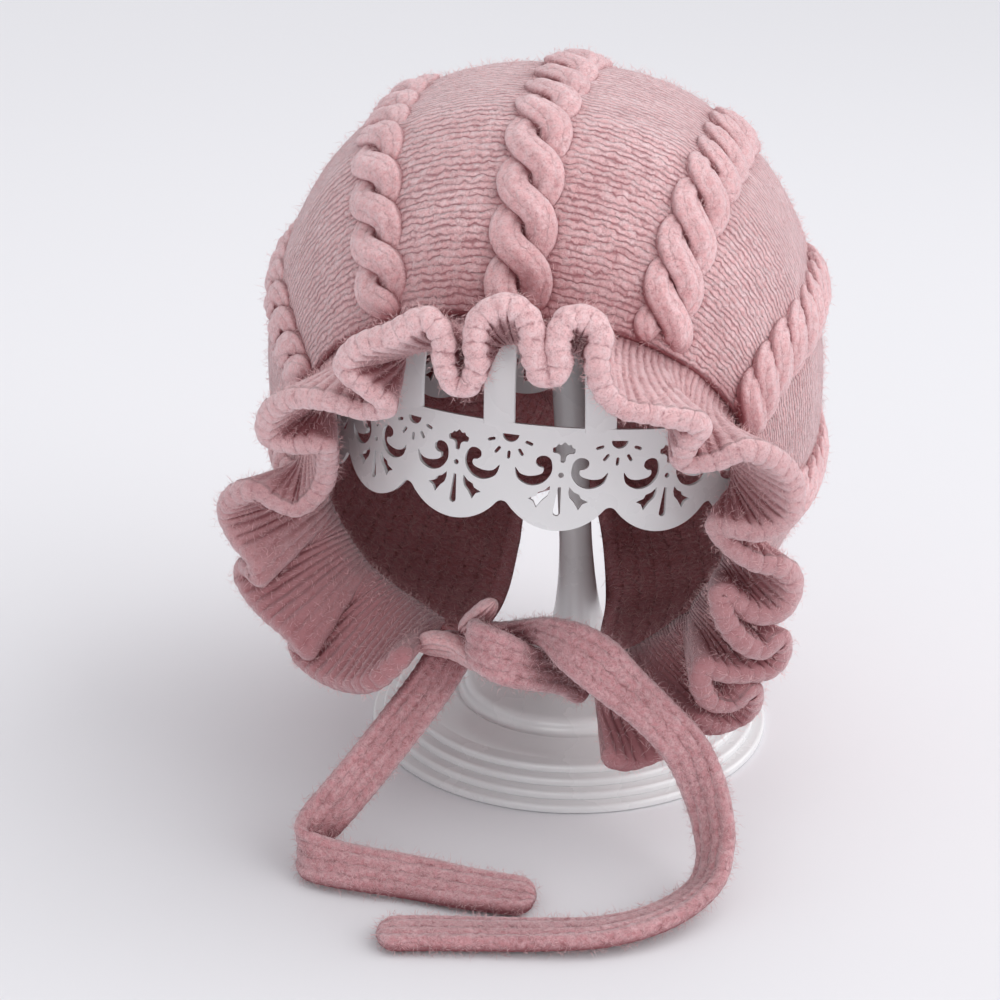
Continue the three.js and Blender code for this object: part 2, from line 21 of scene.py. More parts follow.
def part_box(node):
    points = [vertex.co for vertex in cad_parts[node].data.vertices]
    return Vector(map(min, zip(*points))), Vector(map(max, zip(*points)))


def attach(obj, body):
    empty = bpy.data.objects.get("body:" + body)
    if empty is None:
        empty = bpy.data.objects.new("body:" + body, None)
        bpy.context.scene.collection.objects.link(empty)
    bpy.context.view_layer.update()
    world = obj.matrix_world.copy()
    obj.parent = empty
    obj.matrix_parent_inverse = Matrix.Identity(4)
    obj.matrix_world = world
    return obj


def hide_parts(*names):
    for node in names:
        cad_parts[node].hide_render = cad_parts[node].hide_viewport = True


bl_info = {
    "name": "Knitted Baby Hood",
    "version": (1, 0, 0),
    "blender": (4, 5, 0),
    "location": "3D View > Sidebar > Knitted Hood",
    "description": "Builds a cable-knit baby hood with a frill and ties on a cut-work hat stand",
    "category": "Add Mesh",
}

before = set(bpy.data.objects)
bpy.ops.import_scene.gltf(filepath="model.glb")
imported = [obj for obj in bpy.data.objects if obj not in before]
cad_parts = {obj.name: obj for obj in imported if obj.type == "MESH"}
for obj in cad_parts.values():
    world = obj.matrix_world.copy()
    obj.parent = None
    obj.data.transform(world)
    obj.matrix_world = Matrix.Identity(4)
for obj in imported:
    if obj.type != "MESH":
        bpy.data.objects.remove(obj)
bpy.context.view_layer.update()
POST_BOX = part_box("stand_post")
CAGE_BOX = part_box("stand_cage")

MM = 0.001
TAU = 2 * math.pi
rad = math.radians

# ---------------------------------------------------------------------------
# The hood's form: a row of arches from the face edge back to the crown's end
# ---------------------------------------------------------------------------

CLOTH = 3.6 * MM
HOOD_YAW = rad(11.5)
HOOD_CENTRE_X = -7 * MM
NAPE_AT = 0.88  # behind this the two free edges are sewn together
LAST_AT = 0.993  # behind this the arches are too small to take directions from

# at: place along the hood, 0 face edge to 1 back point. Lengths are in millimetres:
# top, side, low: depth of the arch there; mid: height of its widest place; rise: height above mid;
# wl, wr: half widths left and right; dl, dr: drops below mid.
# el, er: degrees round from the top to each free end; n, nr: roundness, and the same low on the right.
ARCH_COLUMNS = "at top side low mid rise wl wr dl dr el er n nr".split()
ARCH_ROWS = (
    (0.0, -76, -43.5, -57, 98, 56, 65, 66, 49, 62, 162, 158.8, 2.15, 2.15),
    (0.1, -64, -36, -45, 103, 77, 72, 72, 58, 64, 170.3, 160.6, 2.2, 2.2),
    (0.25, -38, -20, -26, 109, 92, 80, 79, 68, 70, 171.3, 165, 2.2, 2.5),
    (0.42, -4, 0, 0, 113, 92, 83, 80.5, 74, 74, 171.3, 167, 2.2, 2.7),
    (0.6, 30, 26, 26, 115, 84, 80, 78, 71, 71, 170, 170, 2.15, 2.8),
    (0.76, 56, 50, 52, 116, 66, 64, 65, 66, 66, 166.6, 174, 2.1, 2.8),
    (0.88, 74, 69, 72, 118, 42, 42, 44, 62, 62, 180, 180, 2.05, 2.4),
    (1.0, 84, 84, 84, 120, 0, 0, 0, 0, 0, 180, 180, 2.0, 2.0),
)


def monotone(xs, ys):
    """Smooth curve through (xs, ys) that never swings past its points, as a function of an array."""
    xs, ys = np.asarray(xs, float), np.asarray(ys, float)
    step = np.diff(xs)
    slope = np.diff(ys) / step
    tangent = np.zeros_like(ys)
    wa, wb = 2 * step[1:] + step[:-1], step[1:] + 2 * step[:-1]
    same = slope[1:] * slope[:-1] > 0
    a, b = np.where(same, slope[:-1], 1), np.where(same, slope[1:], 1)
    tangent[1:-1] = np.where(same, (wa + wb) / (wa / a + wb / b), 0)

    def end(near, far, a, b):
        s = ((2 * near + far) * a - near * b) / (near + far)
        if s * a <= 0:
            return 0.0
        return 3 * a if a * b <= 0 and abs(s) > 3 * abs(a) else s

    tangent[0] = end(step[0], step[1], slope[0], slope[1])
    tangent[-1] = end(step[-1], step[-2], slope[-1], slope[-2])

    def curve(x):
        x = np.asarray(x, float)
        k = np.clip(np.searchsorted(xs, x, side="right") - 1, 0, len(step) - 1)
        s = (x - xs[k]) / step[k]
        rise = s * s * (3 - 2 * s)
        lead = s * (1 - s) ** 2 * step[k] * tangent[k]
        trail = s * s * (s - 1) * step[k] * tangent[k + 1]
        return ys[k] + rise * (ys[k + 1] - ys[k]) + lead + trail

    return curve


ARCH = {
    name: monotone([row[0] for row in ARCH_ROWS], [row[k] for row in ARCH_ROWS])
    for k, name in enumerate(ARCH_COLUMNS)
}


def unit(v):
    """Vectors scaled to length 1, along the last axis."""
    return v / np.maximum(np.linalg.norm(v, axis=-1, keepdims=True), 1e-12)


def hood_point(at, turn):
    """Points of the hood's outside. turn is the angle round the arch from its top, + to the right."""
    at, turn = np.broadcast_arrays(np.asarray(at, float), np.asarray(turn, float))
    a = {name: ARCH[name](at) for name in ARCH_COLUMNS[1:]}
    s, c = np.sin(turn), np.cos(turn)
    left = turn < 0
    n = np.where(left | (c > 0), a["n"], a["nr"])
    swell = (np.abs(s) ** n + np.abs(c) ** n) ** (-1 / n)
    across = np.where(left, a["wl"], a["wr"]) * swell * s
    below = np.where(left, a["dl"], a["dr"])
    height = a["mid"] + np.where(c > 0, a["rise"], below) * swell * c
    depth = (a["top"] + a["low"] + 2 * a["side"]) / 4 + (a["top"] - a["low"]) / 2 * c
    depth = depth + (a["top"] + a["low"] - 2 * a["side"]) / 4 * np.cos(2 * turn)
    cy, sy = math.cos(HOOD_YAW), math.sin(HOOD_YAW)
    x = across * cy + depth * sy
    y = -across * sy + depth * cy
    place = np.stack([x, y, height], axis=-1) * MM
    place[..., 0] += HOOD_CENTRE_X
    return place


def hood_frame(at, turn):
    """Point, outward normal and direction round the arch."""
    at, turn = np.broadcast_arrays(np.asarray(at, float), np.asarray(turn, float))
    before, behind = np.clip(at - 0.004, 0, 0.985), np.clip(at + 0.004, 0.008, LAST_AT)
    near = np.minimum(at, LAST_AT)
    round_ = unit(hood_point(near, turn + 0.02) - hood_point(near, turn - 0.02))
    back = unit(hood_point(behind, turn) - hood_point(before, turn))
    normal = unit(np.cross(round_, back))
    pole = np.array([math.sin(HOOD_YAW), math.cos(HOOD_YAW), 0])
    blend = np.clip((at - 0.95) / 0.05, 0, 1)[..., None]
    normal = unit(normal * (1 - blend) + pole * blend)
    return hood_point(at, turn), normal, round_


def turn_at(at, side):
    """Turn angle for side -1 at the left free edge, 0 at the top and 1 at the right free edge."""
    end = np.where(side < 0, ARCH["el"](at), ARCH["er"](at))
    return np.radians(side * end)


# ---------------------------------------------------------------------------
# The frill: a ribbed strip gathered on the face edge
# ---------------------------------------------------------------------------

FRILL_LEAD = 8 * MM  # how far the strip follows the cloth before it turns
FRILL_EASE = 28 * MM  # length over which the gathers are evened out

# Each row is one fold, as the bends of the strip's free edge: degrees round the face edge,
# degrees turned (0 straight out of the cloth, 90 straight ahead), and millimetres from the face edge.
FRILL_FOLDS = (
    ((-160.5, 80, 27), (-156, 52, 30), (-150, 33, 30), (-143, 18, 30), (-137, 7, 29)),
    (
        (-136, 14, 28), (-140, 29, 30), (-135, 28, 30),
        (-128, 17, 30), (-122, 8, 30), (-116.5, 0, 29),
    ),
    (
        (-115.5, 9, 28), (-119.5, 25, 30), (-114, 26, 30),
        (-106, 16, 30), (-97, 10, 30), (-89, 17, 30),
    ),
    ((-81, 37, 30), (-86, 48, 30), (-90, 59, 30), (-82, 72, 30), (-70, 77, 30), (-58, 74, 30)),
    ((-48, 64, 30), (-55, 50, 30), (-58, 37, 30), (-51, 30, 30), (-41, 31, 30), (-33, 40, 30)),
    ((-26, 54, 30), (-19.5, 53, 30), (-22.5, 36, 30), (-25, 25, 30), (-21, 16, 30)),
    (
        (-14, 11, 30), (-7.5, 4, 30), (-5, 13, 30), (-5.2, 27, 30),
        (-4, 39, 30), (-1.6, 39, 30), (0.2, 27, 30),
    ),
    ((-0.2, 14, 30), (0.6, 2, 30), (4.8, -5, 30), (8.2, 2, 30), (9.2, 17, 30), (11.2, 28.5, 30)),
    ((13.6, 24, 30), (12.4, 9, 30), (13.3, -1.5, 30), (16.6, -4, 30), (18.8, 3, 30), (19, 15, 30)),
    ((21.5, 30, 30), (26.4, 38, 30), (33, 35, 30), (42.3, 30, 30), (43.5, 45, 30), (47.5, 56, 30)),
    (
        (51.6, 42, 30), (53.5, 27, 30), (61, 19, 30), (70, 18, 30),
        (79, 25, 30), (83, 41, 30), (80, 57, 30),
    ),
    (
        (80.7, 67.9, 29), (91.7, 56, 30), (96.5, 42.7, 30),
        (97.2, 30.5, 30), (100.8, 23, 30), (106.5, 23.2, 30),
    ),
    (
        (111.4, 30.5, 30), (114.1, 44.3, 29), (112.9, 57.3, 28),
        (111, 65.9, 29), (118.1, 65.7, 30), (121.7, 54.4, 30),
    ),
    (
        (121, 39.4, 30), (117, 27.5, 30), (120.5, 23.4, 30),
        (124.1, 29.4, 30), (127.3, 43.9, 29), (130.5, 61.9, 28),
    ),
    (
        (132.8, 78.8, 28), (136.3, 75.8, 28), (137, 62.1, 28),
        (133.9, 46.4, 29), (129.3, 39.4, 30), (131.8, 28.5, 30),
    ),
    ((135.9, 24, 29), (139.7, 41.5, 28), (141.8, 60.7, 26)),
    ((147, 50, 26), (152, 56, 27), (156.5, 67, 28), (159.5, 82, 28)),
)


def face_edge(degrees):
    """Points of the face edge, with the directions ahead of the cloth and out of it."""
    turn = np.radians(degrees)
    edge = hood_point(0, turn)
    round_ = unit(hood_point(0, turn + 0.01) - hood_point(0, turn - 0.01))
    ahead = edge - hood_point(0.03, turn)
    ahead = unit(ahead - (ahead * round_).sum(-1, keepdims=True) * round_)
    return edge, ahead, np.cross(ahead, round_)


def smooth_path(rows, count, places=3):
    """A centripetal spline through the rows, as count evenly spaced rows, and its length."""
    rows = np.asarray(rows, float)
    gap = np.linalg.norm(np.diff(rows[:, :places], axis=0), axis=1) ** 0.5
    t = np.concatenate([[0], np.cumsum(gap)])
    slope = np.diff(rows, axis=0) / gap[:, None]
    tangent = np.empty_like(rows)
    wide = (rows[2:] - rows[:-2]) / (t[2:] - t[:-2])[:, None]
    tangent[1:-1] = slope[:-1] + slope[1:] - wide
    tangent[0], tangent[-1] = slope[0], slope[-1]
    fine = np.linspace(0, t[-1], 6000)
    k = np.clip(np.searchsorted(t, fine, side="right") - 1, 0, len(gap) - 1)
    s = ((fine - t[k]) / gap[k])[:, None]
    g = gap[k][:, None]
    curve = rows[k] + s * s * (3 - 2 * s) * (rows[k + 1] - rows[k])
    curve += s * (1 - s) ** 2 * g * tangent[k] + s * s * (s - 1) * g * tangent[k + 1]
    run = np.concatenate([[0], np.cumsum(np.linalg.norm(np.diff(curve[:, :places], axis=0), axis=1))])
    even = np.linspace(0, run[-1], count)
    return np.stack([np.interp(even, run, column) for column in curve.T], axis=1), run[-1]


def evened(values, spread):
    """A bell-shaped running average that keeps both ends and never turns back."""
    reach = int(math.ceil(3 * spread))
    before = 2 * values[0] - values[reach:0:-1]
    after = 2 * values[-1] - values[-2 : -reach - 2 : -1]
    padded = np.concatenate([before, values, after])
    bell = np.exp(-0.5 * (np.arange(-reach, reach + 1) / spread) ** 2)
    soft = np.convolve(padded, bell / bell.sum(), "valid")
    return np.clip(np.maximum.accumulate(soft), values[0], values[-1])


def frill_strips(rows, columns):
    """Mid-surface of the frill, [rows, columns, 3], from the seam to the free edge, and its lengths."""
    bends = np.array([bend for fold in FRILL_FOLDS for bend in fold], float)
    edge, ahead, out = face_edge(bends[:, 0])
    turn = np.radians(bends[:, 1])[:, None]
    reach = bends[:, 2:3] * MM
    free_bends = edge + reach * (np.cos(turn) * out + np.sin(turn) * ahead)
    path, length = smooth_path(np.hstack([free_bends, bends[:, :1]]), rows)
    free, rounds = path[:, :3], path[:, 3]
    seams = evened(rounds, FRILL_EASE * (rows - 1) / length)
    edge, ahead, out = face_edge(seams)
    start = edge - CLOTH / 2 * out + 0.6 * MM * ahead
    lead = start + FRILL_LEAD * ahead
    t = np.linspace(0, 1, columns)[None, :, None]
    mid = (1 - t) ** 2 * start[:, None] + 2 * t * (1 - t) * lead[:, None] + t * t * free[:, None]
    return mid, length


# ---------------------------------------------------------------------------
# The ties: x, y and z in metres, how many degrees the band leans there, and its share of the width
# ---------------------------------------------------------------------------

TIE_WIDTH = 13 * MM
TIE_CLOTH = 4.6 * MM
LEFT_TIE_ROUTE = (
    (-0.0328, -0.0570, 0.0560, 50, 1),
    (-0.0356, -0.0596, 0.0509, 50, 1),
    (-0.0410, -0.0645, 0.0435, 50, 1),
    (-0.0495, -0.0705, 0.0340, 50, 1),
    (-0.0585, -0.0770, 0.0245, 52, 1),
    (-0.0665, -0.0825, 0.0165, 56, 1),
    (-0.0725, -0.0870, 0.0110, 66, 1),
    (-0.0750, -0.0915, 0.0082, 88, 1),
    (-0.0730, -0.0955, 0.0069, 118, 1),
    (-0.0670, -0.0980, 0.0062, 138, 1),
    (-0.0580, -0.1000, 0.0055, 147, 1),
    (-0.0488, -0.1018, 0.0049, 151, 1),
    (-0.0400, -0.1040, 0.0044, 155, 1),
    (-0.0310, -0.1067, 0.0040, 159, 1),
    (-0.0210, -0.1088, 0.0036, 163, 1),
    (-0.0120, -0.1105, 0.0033, 167, 1),
)
CORNER_ROUTES = (
    (
        (-0.0455, -0.0625, 0.0545, 62, 0.55),
        (-0.0400, -0.0630, 0.0555, 60, 0.7),
        (-0.0345, -0.0645, 0.0550, 58, 0.75),
        (-0.0300, -0.0665, 0.0530, 56, 0.7),
        (-0.0260, -0.0690, 0.0500, 54, 0.5),
    ),
    (
        (-0.0325, -0.0625, 0.0580, 80, 0.5),
        (-0.0290, -0.0640, 0.0628, 70, 0.46),
        (-0.0254, -0.0652, 0.0670, 60, 0.44),
        (-0.0228, -0.0660, 0.0702, 60, 0.42),
    ),
)
RIGHT_TIE_ROUTE = (
    (0.0033, -0.0607, 0.0408, 41, 1),
    (-0.0022, -0.0639, 0.0445, 45, 1),
    (-0.0066, -0.0690, 0.0494, 54, 0.95),
    (-0.0120, -0.0736, 0.0528, 58, 0.95),
    (-0.0182, -0.0768, 0.0564, 64, 1.05),
    (-0.0242, -0.0766, 0.0594, 74, 1.08),
    (-0.0288, -0.0726, 0.0606, 86, 1),
    (-0.0266, -0.0674, 0.0590, 96, 0.8),
    (-0.0200, -0.0650, 0.0590, 100, 0.6),
    (-0.0136, -0.0672, 0.0612, 104, 0.55),
    (-0.0086, -0.0720, 0.0630, 116, 0.7),
    (-0.0026, -0.0774, 0.0620, 125, 1.05),
    (0.0044, -0.0808, 0.0584, 130, 1.2),
    (0.0110, -0.0832, 0.0530, 130, 1.1),
    (0.0190, -0.0848, 0.0460, 131, 1),
    (0.0282, -0.0880, 0.0366, 132, 1),
    (0.0328, -0.0925, 0.0285, 132, 1),
    (0.0354, -0.0980, 0.0205, 130, 1),
    (0.0360, -0.1035, 0.0133, 135, 1),
    (0.0336, -0.1095, 0.0080, 148, 1),
    (0.0272, -0.1160, 0.0055, 158, 1),
    (0.0174, -0.1225, 0.0043, 166, 1),
    (0.0043, -0.1265, 0.0035, 172, 1),
    (-0.0113, -0.1270, 0.0031, 176, 1),
    (-0.0270, -0.1263, 0.0028, 178, 1),
    (-0.0425, -0.1258, 0.0027, 180, 1),
    (-0.0540, -0.1260, 0.0027, 180, 1),
)

# ---------------------------------------------------------------------------
# Settings
# ---------------------------------------------------------------------------


def length_setting(name, description, millimetres, **more):
    """A length, given in millimetres and kept in metres."""
    default = millimetres * MM
    return FloatProperty(name=name, description=description, default=default, unit="LENGTH", **more)


def colour_setting(name, description, colour):
    """A colour."""
    return FloatVectorProperty(name=name, description=description, subtype="COLOR", default=colour, size=3)


class KnitSettings(bpy.types.PropertyGroup):
    """Sizes and colours of the hood, its frill and its ties."""

    wales: IntProperty(name="Stitch Columns", description="Columns round the hood", default=92, min=40)
    courses: IntProperty(name="Stitch Rows", description="Rows from face to back", default=78, min=30)
    purl_relief: length_setting("Purl Relief", "Height of the purl bumps", 0.16, precision=5)
    strand_width: length_setting("Cable Strand Width", "Width of one strand of a cable", 8.6)
    strand_height: length_setting("Cable Strand Height", "Height of one strand of a cable", 4.8)
    cable_sway: length_setting("Cable Sway", "How far each strand swings to either side", 4.6)
    crossing_rows: FloatProperty(
        name="Rows per Crossing",
        description="Stitch rows between two crossings of a cable",
        default=4.6,
        min=2,
    )
    frill_cloth: length_setting("Frill Thickness", "Thickness of the frill's cloth", 6.4)
    fuzz_length: length_setting("Fuzz Length", "Length of the loose fibres", 3.2)
    hood_colour: colour_setting("Hood Colour", "Colour of the hood's wool", (0.88, 0.49, 0.50))
    # The frill is the hood's wool, paler as painted light on its lit top.
    frill_lit_colour: colour_setting("Frill Colour", "Colour of the frill's wool", (0.93, 0.57, 0.58))
    # The inside is the hood's wool, darker and deeper in colour as painted shade.
    inside_shaded_colour: colour_setting("Inside Colour", "Colour of the hood's inside", (0.64, 0.23, 0.245))
    tie_colour: colour_setting("Tie Colour", "Colour of the ties' wool", (0.60, 0.28, 0.30))


class StandSettings(bpy.types.PropertyGroup):
    """Sizes and colour of the hat stand."""

    sheet: length_setting("Sheet Thickness", "Thickness of the band's sheet metal", 1.0)
    paint_colour: colour_setting("Paint Colour", "Colour of the stand's paint", (0.72, 0.715, 0.725))


class StageSettings(bpy.types.PropertyGroup):
    """Camera, floor and light."""

    target: FloatVectorProperty(
        name="Camera Target",
        description="Point that the camera looks at",
        default=(-0.0217, 0.0, 0.0731),
        size=3,
        subtype="TRANSLATION",
    )
    world: FloatProperty(name="Room Light", description="Light from all round", default=0.73)
    distance: length_setting("Camera Distance", "From the camera to the point it looks at", 610)
    pitch: FloatProperty(
        name="Camera Pitch", description="How far it looks down", default=rad(22.1), subtype="ANGLE"
    )
    lens: FloatProperty(name="Lens", description="Focal length in millimetres", default=72.0)
    floor_colour: colour_setting("Floor Colour", "Colour of the floor", (0.78, 0.775, 0.80))


# ---------------------------------------------------------------------------
# Mesh helpers
# ---------------------------------------------------------------------------


def new_piece(name, points, faces, uv=None, weld=None):
    """A mesh object from points and a list of face arrays, each with as many columns as corners.

    weld gives, for each point, the number of the point that stands for it, so that a seam can have
    one row of points and two places on the stitch map.
    """
    points = np.asarray(points, float).reshape(-1, 3)
    corner = np.concatenate([np.asarray(f, np.int64).ravel() for f in faces])
    sizes = np.concatenate([np.full(len(f), np.asarray(f).shape[1]) for f in faces])
    stands = corner if weld is None else weld[corner]
    kept, index = np.unique(stands, return_inverse=True)
    mesh = bpy.data.meshes.new(name)
    mesh.vertices.add(len(kept))
    mesh.vertices.foreach_set("co", points[kept].ravel())
    mesh.loops.add(len(index))
    mesh.loops.foreach_set("vertex_index", index.astype(np.int32))
    mesh.polygons.add(len(sizes))
    mesh.polygons.foreach_set("loop_start", np.concatenate([[0], np.cumsum(sizes)[:-1]]).astype(np.int32))
    if uv is not None:
        layer = mesh.uv_layers.new(name="stitches")
        layer.data.foreach_set("uv", np.asarray(uv, float).reshape(-1, 2)[corner].ravel())
    mesh.update(calc_edges=True)
    mesh.validate()
    piece = bpy.data.objects.new(name, mesh)
    bpy.context.scene.collection.objects.link(piece)
    return piece


def select_only(piece):
    """Nothing selected but the piece, which becomes the active object."""
    if bpy.context.object and bpy.context.object.mode != "OBJECT":
        bpy.ops.object.mode_set(mode="OBJECT")
    bpy.ops.object.select_all(action="DESELECT")
    piece.select_set(True)
    bpy.context.view_layer.objects.active = piece


def pairs(u, v):
    """Places on a stitch map, one for each point of a grid."""
    return np.stack(np.broadcast_arrays(u, v), axis=-1)


def with_ends(tube, line):
    """The points of a tube's rings, then the middles of its two caps."""
    return np.concatenate([tube.reshape(-1, 3), line[:1], line[-1:]])


def powered(wave, power):
    """A wave from -1 to 1, made squarer by a power under 1 and sharper by one over 1."""
    return np.sign(wave) * np.abs(wave) ** power


def grid_faces(index, flip=False):
    """Quads of a grid of point numbers, whose front is where its columns, then its rows, turn left."""
    a, b = index[:-1, :-1].ravel(), index[:-1, 1:].ravel()
    c, d = index[1:, 1:].ravel(), index[1:, :-1].ravel()
    return np.stack([d, c, b, a] if flip else [a, b, c, d], axis=1)


def tube_faces(rings, sides, first=0):
    """Quads of a tube of rings that run anticlockwise as seen against its course, with a cap at each end.

    Each ring has one point more than it has sides, the last on the first, for the stitch map.
    Two more points, the middles of the caps, follow the rings.
    """
    index = first + np.arange(rings * (sides + 1)).reshape(rings, sides + 1)
    start, end = first + rings * (sides + 1), first + rings * (sides + 1) + 1
    ring = np.arange(sides)
    head = np.stack([np.full(sides, start), index[0, ring + 1], index[0, ring]], axis=1)
    tail = np.stack([np.full(sides, end), index[-1, ring], index[-1, ring + 1]], axis=1)
    weld = np.concatenate([index.ravel(), [start, end]])
    weld[np.arange(rings) * (sides + 1) + sides] = index[:, 0]
    return grid_faces(index), np.concatenate([head, tail]), weld


def waves(places, pitch, seed, count=9):
    """Smooth noise between about -1 and 1 at points, with bumps about pitch wide."""
    rng = np.random.default_rng(seed)
    total = np.zeros(places.shape[:-1])
    for _ in range(count):
        way = unit(rng.normal(size=3)) * TAU / pitch * rng.uniform(0.6, 1.5)
        total += np.sin(places @ way + rng.uniform(0, TAU))
    return total / math.sqrt(count)


def finish_piece(piece, slot, *nodes, materials=(), smooth=True):
    """Shades and paints the piece. It rides on the body and stands for the nodes. The slot is not used."""
    if smooth:
        piece.data.polygons.foreach_set("use_smooth", np.ones(len(piece.data.polygons), bool))
        piece.data.update()
    paint(piece, *materials)
    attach(piece, "root")
    if nodes:
        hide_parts(*nodes)


def paint(piece, *materials):
    """Puts materials on the piece."""
    piece.data.materials.clear()
    for material in materials:
        piece.data.materials.append(material)


# ---------------------------------------------------------------------------
# Materials
# ---------------------------------------------------------------------------


class Nodes:
    """Short way to add and join shader nodes."""

    def __init__(self, tree):
        self.tree = tree

    def add(self, kind, inputs=None, **settings):
        node = self.tree.nodes.new(kind)
        for key, value in settings.items():
            setattr(node, key, value)
        self.fill(node, inputs or {})
        return node

    def fill(self, node, inputs):
        """Joins each socket that is given to its input, and sets each value."""
        for key, value in inputs.items():
            if isinstance(value, bpy.types.NodeSocket):
                self.tree.links.new(value, node.inputs[key])
            else:
                node.inputs[key].default_value = value

    def math(self, operation, a, b=0.0, clamp=False):
        node = self.add("ShaderNodeMath", {0: a, 1: b}, operation=operation, use_clamp=clamp)
        return node.outputs[0]

    def times(self, a, b):
        return self.math("MULTIPLY", a, b)

    def plus(self, a, b):
        return self.math("ADD", a, b)

    def size(self, a):
        return self.math("ABSOLUTE", a)

    def mix(self, factor, a, b, blend="MIX"):
        node = self.add("ShaderNodeMix", {0: factor, 6: a, 7: b}, data_type="RGBA", blend_type=blend)
        return node.outputs[2]

    def ramp(self, value, *stops):
        """A grey ramp: each stop is a place and how light it is there."""
        node = self.add("ShaderNodeValToRGB", {0: value})
        for element, (place, grey) in zip(node.color_ramp.elements, stops):
            element.position = place
            element.color = (grey, grey, grey, 1)
        return node.outputs[0]

    def place(self):
        """Places in the piece's own coordinates."""
        return self.add("ShaderNodeTexCoord").outputs["Object"]

    def noise(self, place, scale, detail=2.0, **more):
        inputs = {"Vector": place, "Scale": scale, "Detail": detail, **more}
        return self.add("ShaderNodeTexNoise", inputs).outputs[0]

    def shade(self, inputs):
        """A shader with these inputs, as what the material shows."""
        shader = self.add("ShaderNodeBsdfPrincipled", inputs)
        self.add("ShaderNodeOutputMaterial", {"Surface": shader.outputs[0]})


def new_material(name):
    """An empty material and its nodes."""
    material = bpy.data.materials.new(name)
    material.use_nodes = True
    material.node_tree.nodes.clear()
    return material, Nodes(material.node_tree)


def new_group(name, inputs, outputs):
    """A shader node group with its sockets, and its input and output nodes."""
    group = bpy.data.node_groups.new(name, "ShaderNodeTree")
    for socket_name, kind, value in inputs:
        socket = group.interface.new_socket(socket_name, in_out="INPUT", socket_type=kind)
        socket.default_value = value
    for socket_name, kind in outputs:
        group.interface.new_socket(socket_name, in_out="OUTPUT", socket_type=kind)
    nodes = Nodes(group)
    return group, nodes, nodes.add("NodeGroupInput"), nodes.add("NodeGroupOutput")


FIBRE_RELIEF = 0.6 * MM


def wool_colour_group():
    """Heathered wool: yarn-to-yarn changes, dark stitch gaps, pale fibre tips, painted shade in hollows
    and low down.
    """
    name = "wool_colour"
    if name in bpy.data.node_groups:
        return bpy.data.node_groups[name]
    group, nodes, given, made = new_group(
        name,
        (
            ("Colour", "NodeSocketColor", (0.5, 0.24, 0.25, 1)),
            ("Gap", "NodeSocketFloat", 0.0),
            ("Heather", "NodeSocketFloat", 0.5),
            ("Reach", "NodeSocketFloat", 0.035),
            # How much the wool is darkened low down, as painted shade.
            ("Lower Shade", "NodeSocketFloat", 0.0),
        ),
        (
            ("Colour", "NodeSocketColor"),
            ("Roughness", "NodeSocketFloat"),
            ("Fibre", "NodeSocketFloat"),
            ("Outside Painted Shade", "NodeSocketFloat"),
        ),
    )
    wool = given.outputs["Colour"]
    place = nodes.place()
    blotch = nodes.noise(place, 60.0, 3.0)
    speck = nodes.noise(place, 620.0, 5.0, Roughness=0.75)
    fibre = nodes.noise(place, 1500.0, 4.0, Roughness=0.7, Distortion=1.2)
    # The deep colour darkens both the gaps between stitches and the painted shade.
    gap_and_shade_colour = nodes.mix(1.0, wool, (0.36, 0.20, 0.22, 1), "MULTIPLY")
    dim = nodes.mix(1.0, wool, (0.55, 0.44, 0.45, 1), "MULTIPLY")
    # Painted shade: ambient occlusion within Reach finds hollows, creases and folds.
    light = nodes.add("ShaderNodeAmbientOcclusion", {"Distance": given.outputs["Reach"]}, samples=4)
    pale = nodes.mix(0.75, wool, (0.98, 0.82, 0.84, 1))
    heather = nodes.times(given.outputs["Heather"], nodes.ramp(speck, (0.4, 0.0), (0.62, 1.0)))
    shade = nodes.mix(heather, wool, pale)
    shade = nodes.mix(nodes.ramp(fibre, (0.38, 0.65), (0.5, 0.0)), shade, dim)
    shade = nodes.mix(nodes.ramp(blotch, (0.35, 0.3), (0.65, 0.0)), shade, dim)
    shade = nodes.mix(nodes.math("MULTIPLY", given.outputs["Gap"], 0.9, True), shade, gap_and_shade_colour)
    # Painted shade: hollows are mixed most of the way to the deep colour, and lose their sheen.
    painted_shade = nodes.ramp(light.outputs["AO"], (0.28, 1.0), (0.8, 0.0))
    shade = nodes.mix(nodes.times(painted_shade, 0.9), shade, gap_and_shade_colour)
    # Painted shade: darker towards the bottom, fully below 60 mm and fading out by 144 mm up.
    high = nodes.add("ShaderNodeSeparateXYZ", {0: place}).outputs[2]
    low = nodes.ramp(nodes.times(high, 5.0), (0.3, 1.0), (0.72, 0.0))
    results = {
        "Colour": nodes.mix(nodes.times(low, given.outputs["Lower Shade"]), shade, gap_and_shade_colour),
        "Outside Painted Shade": nodes.math("SUBTRACT", 1.0, painted_shade),
        "Roughness": nodes.math("ADD", nodes.times(speck, 0.12), 0.84, True),
        "Fibre": nodes.plus(speck, nodes.times(fibre, 0.5)),
    }
    nodes.fill(made, results)
    return group


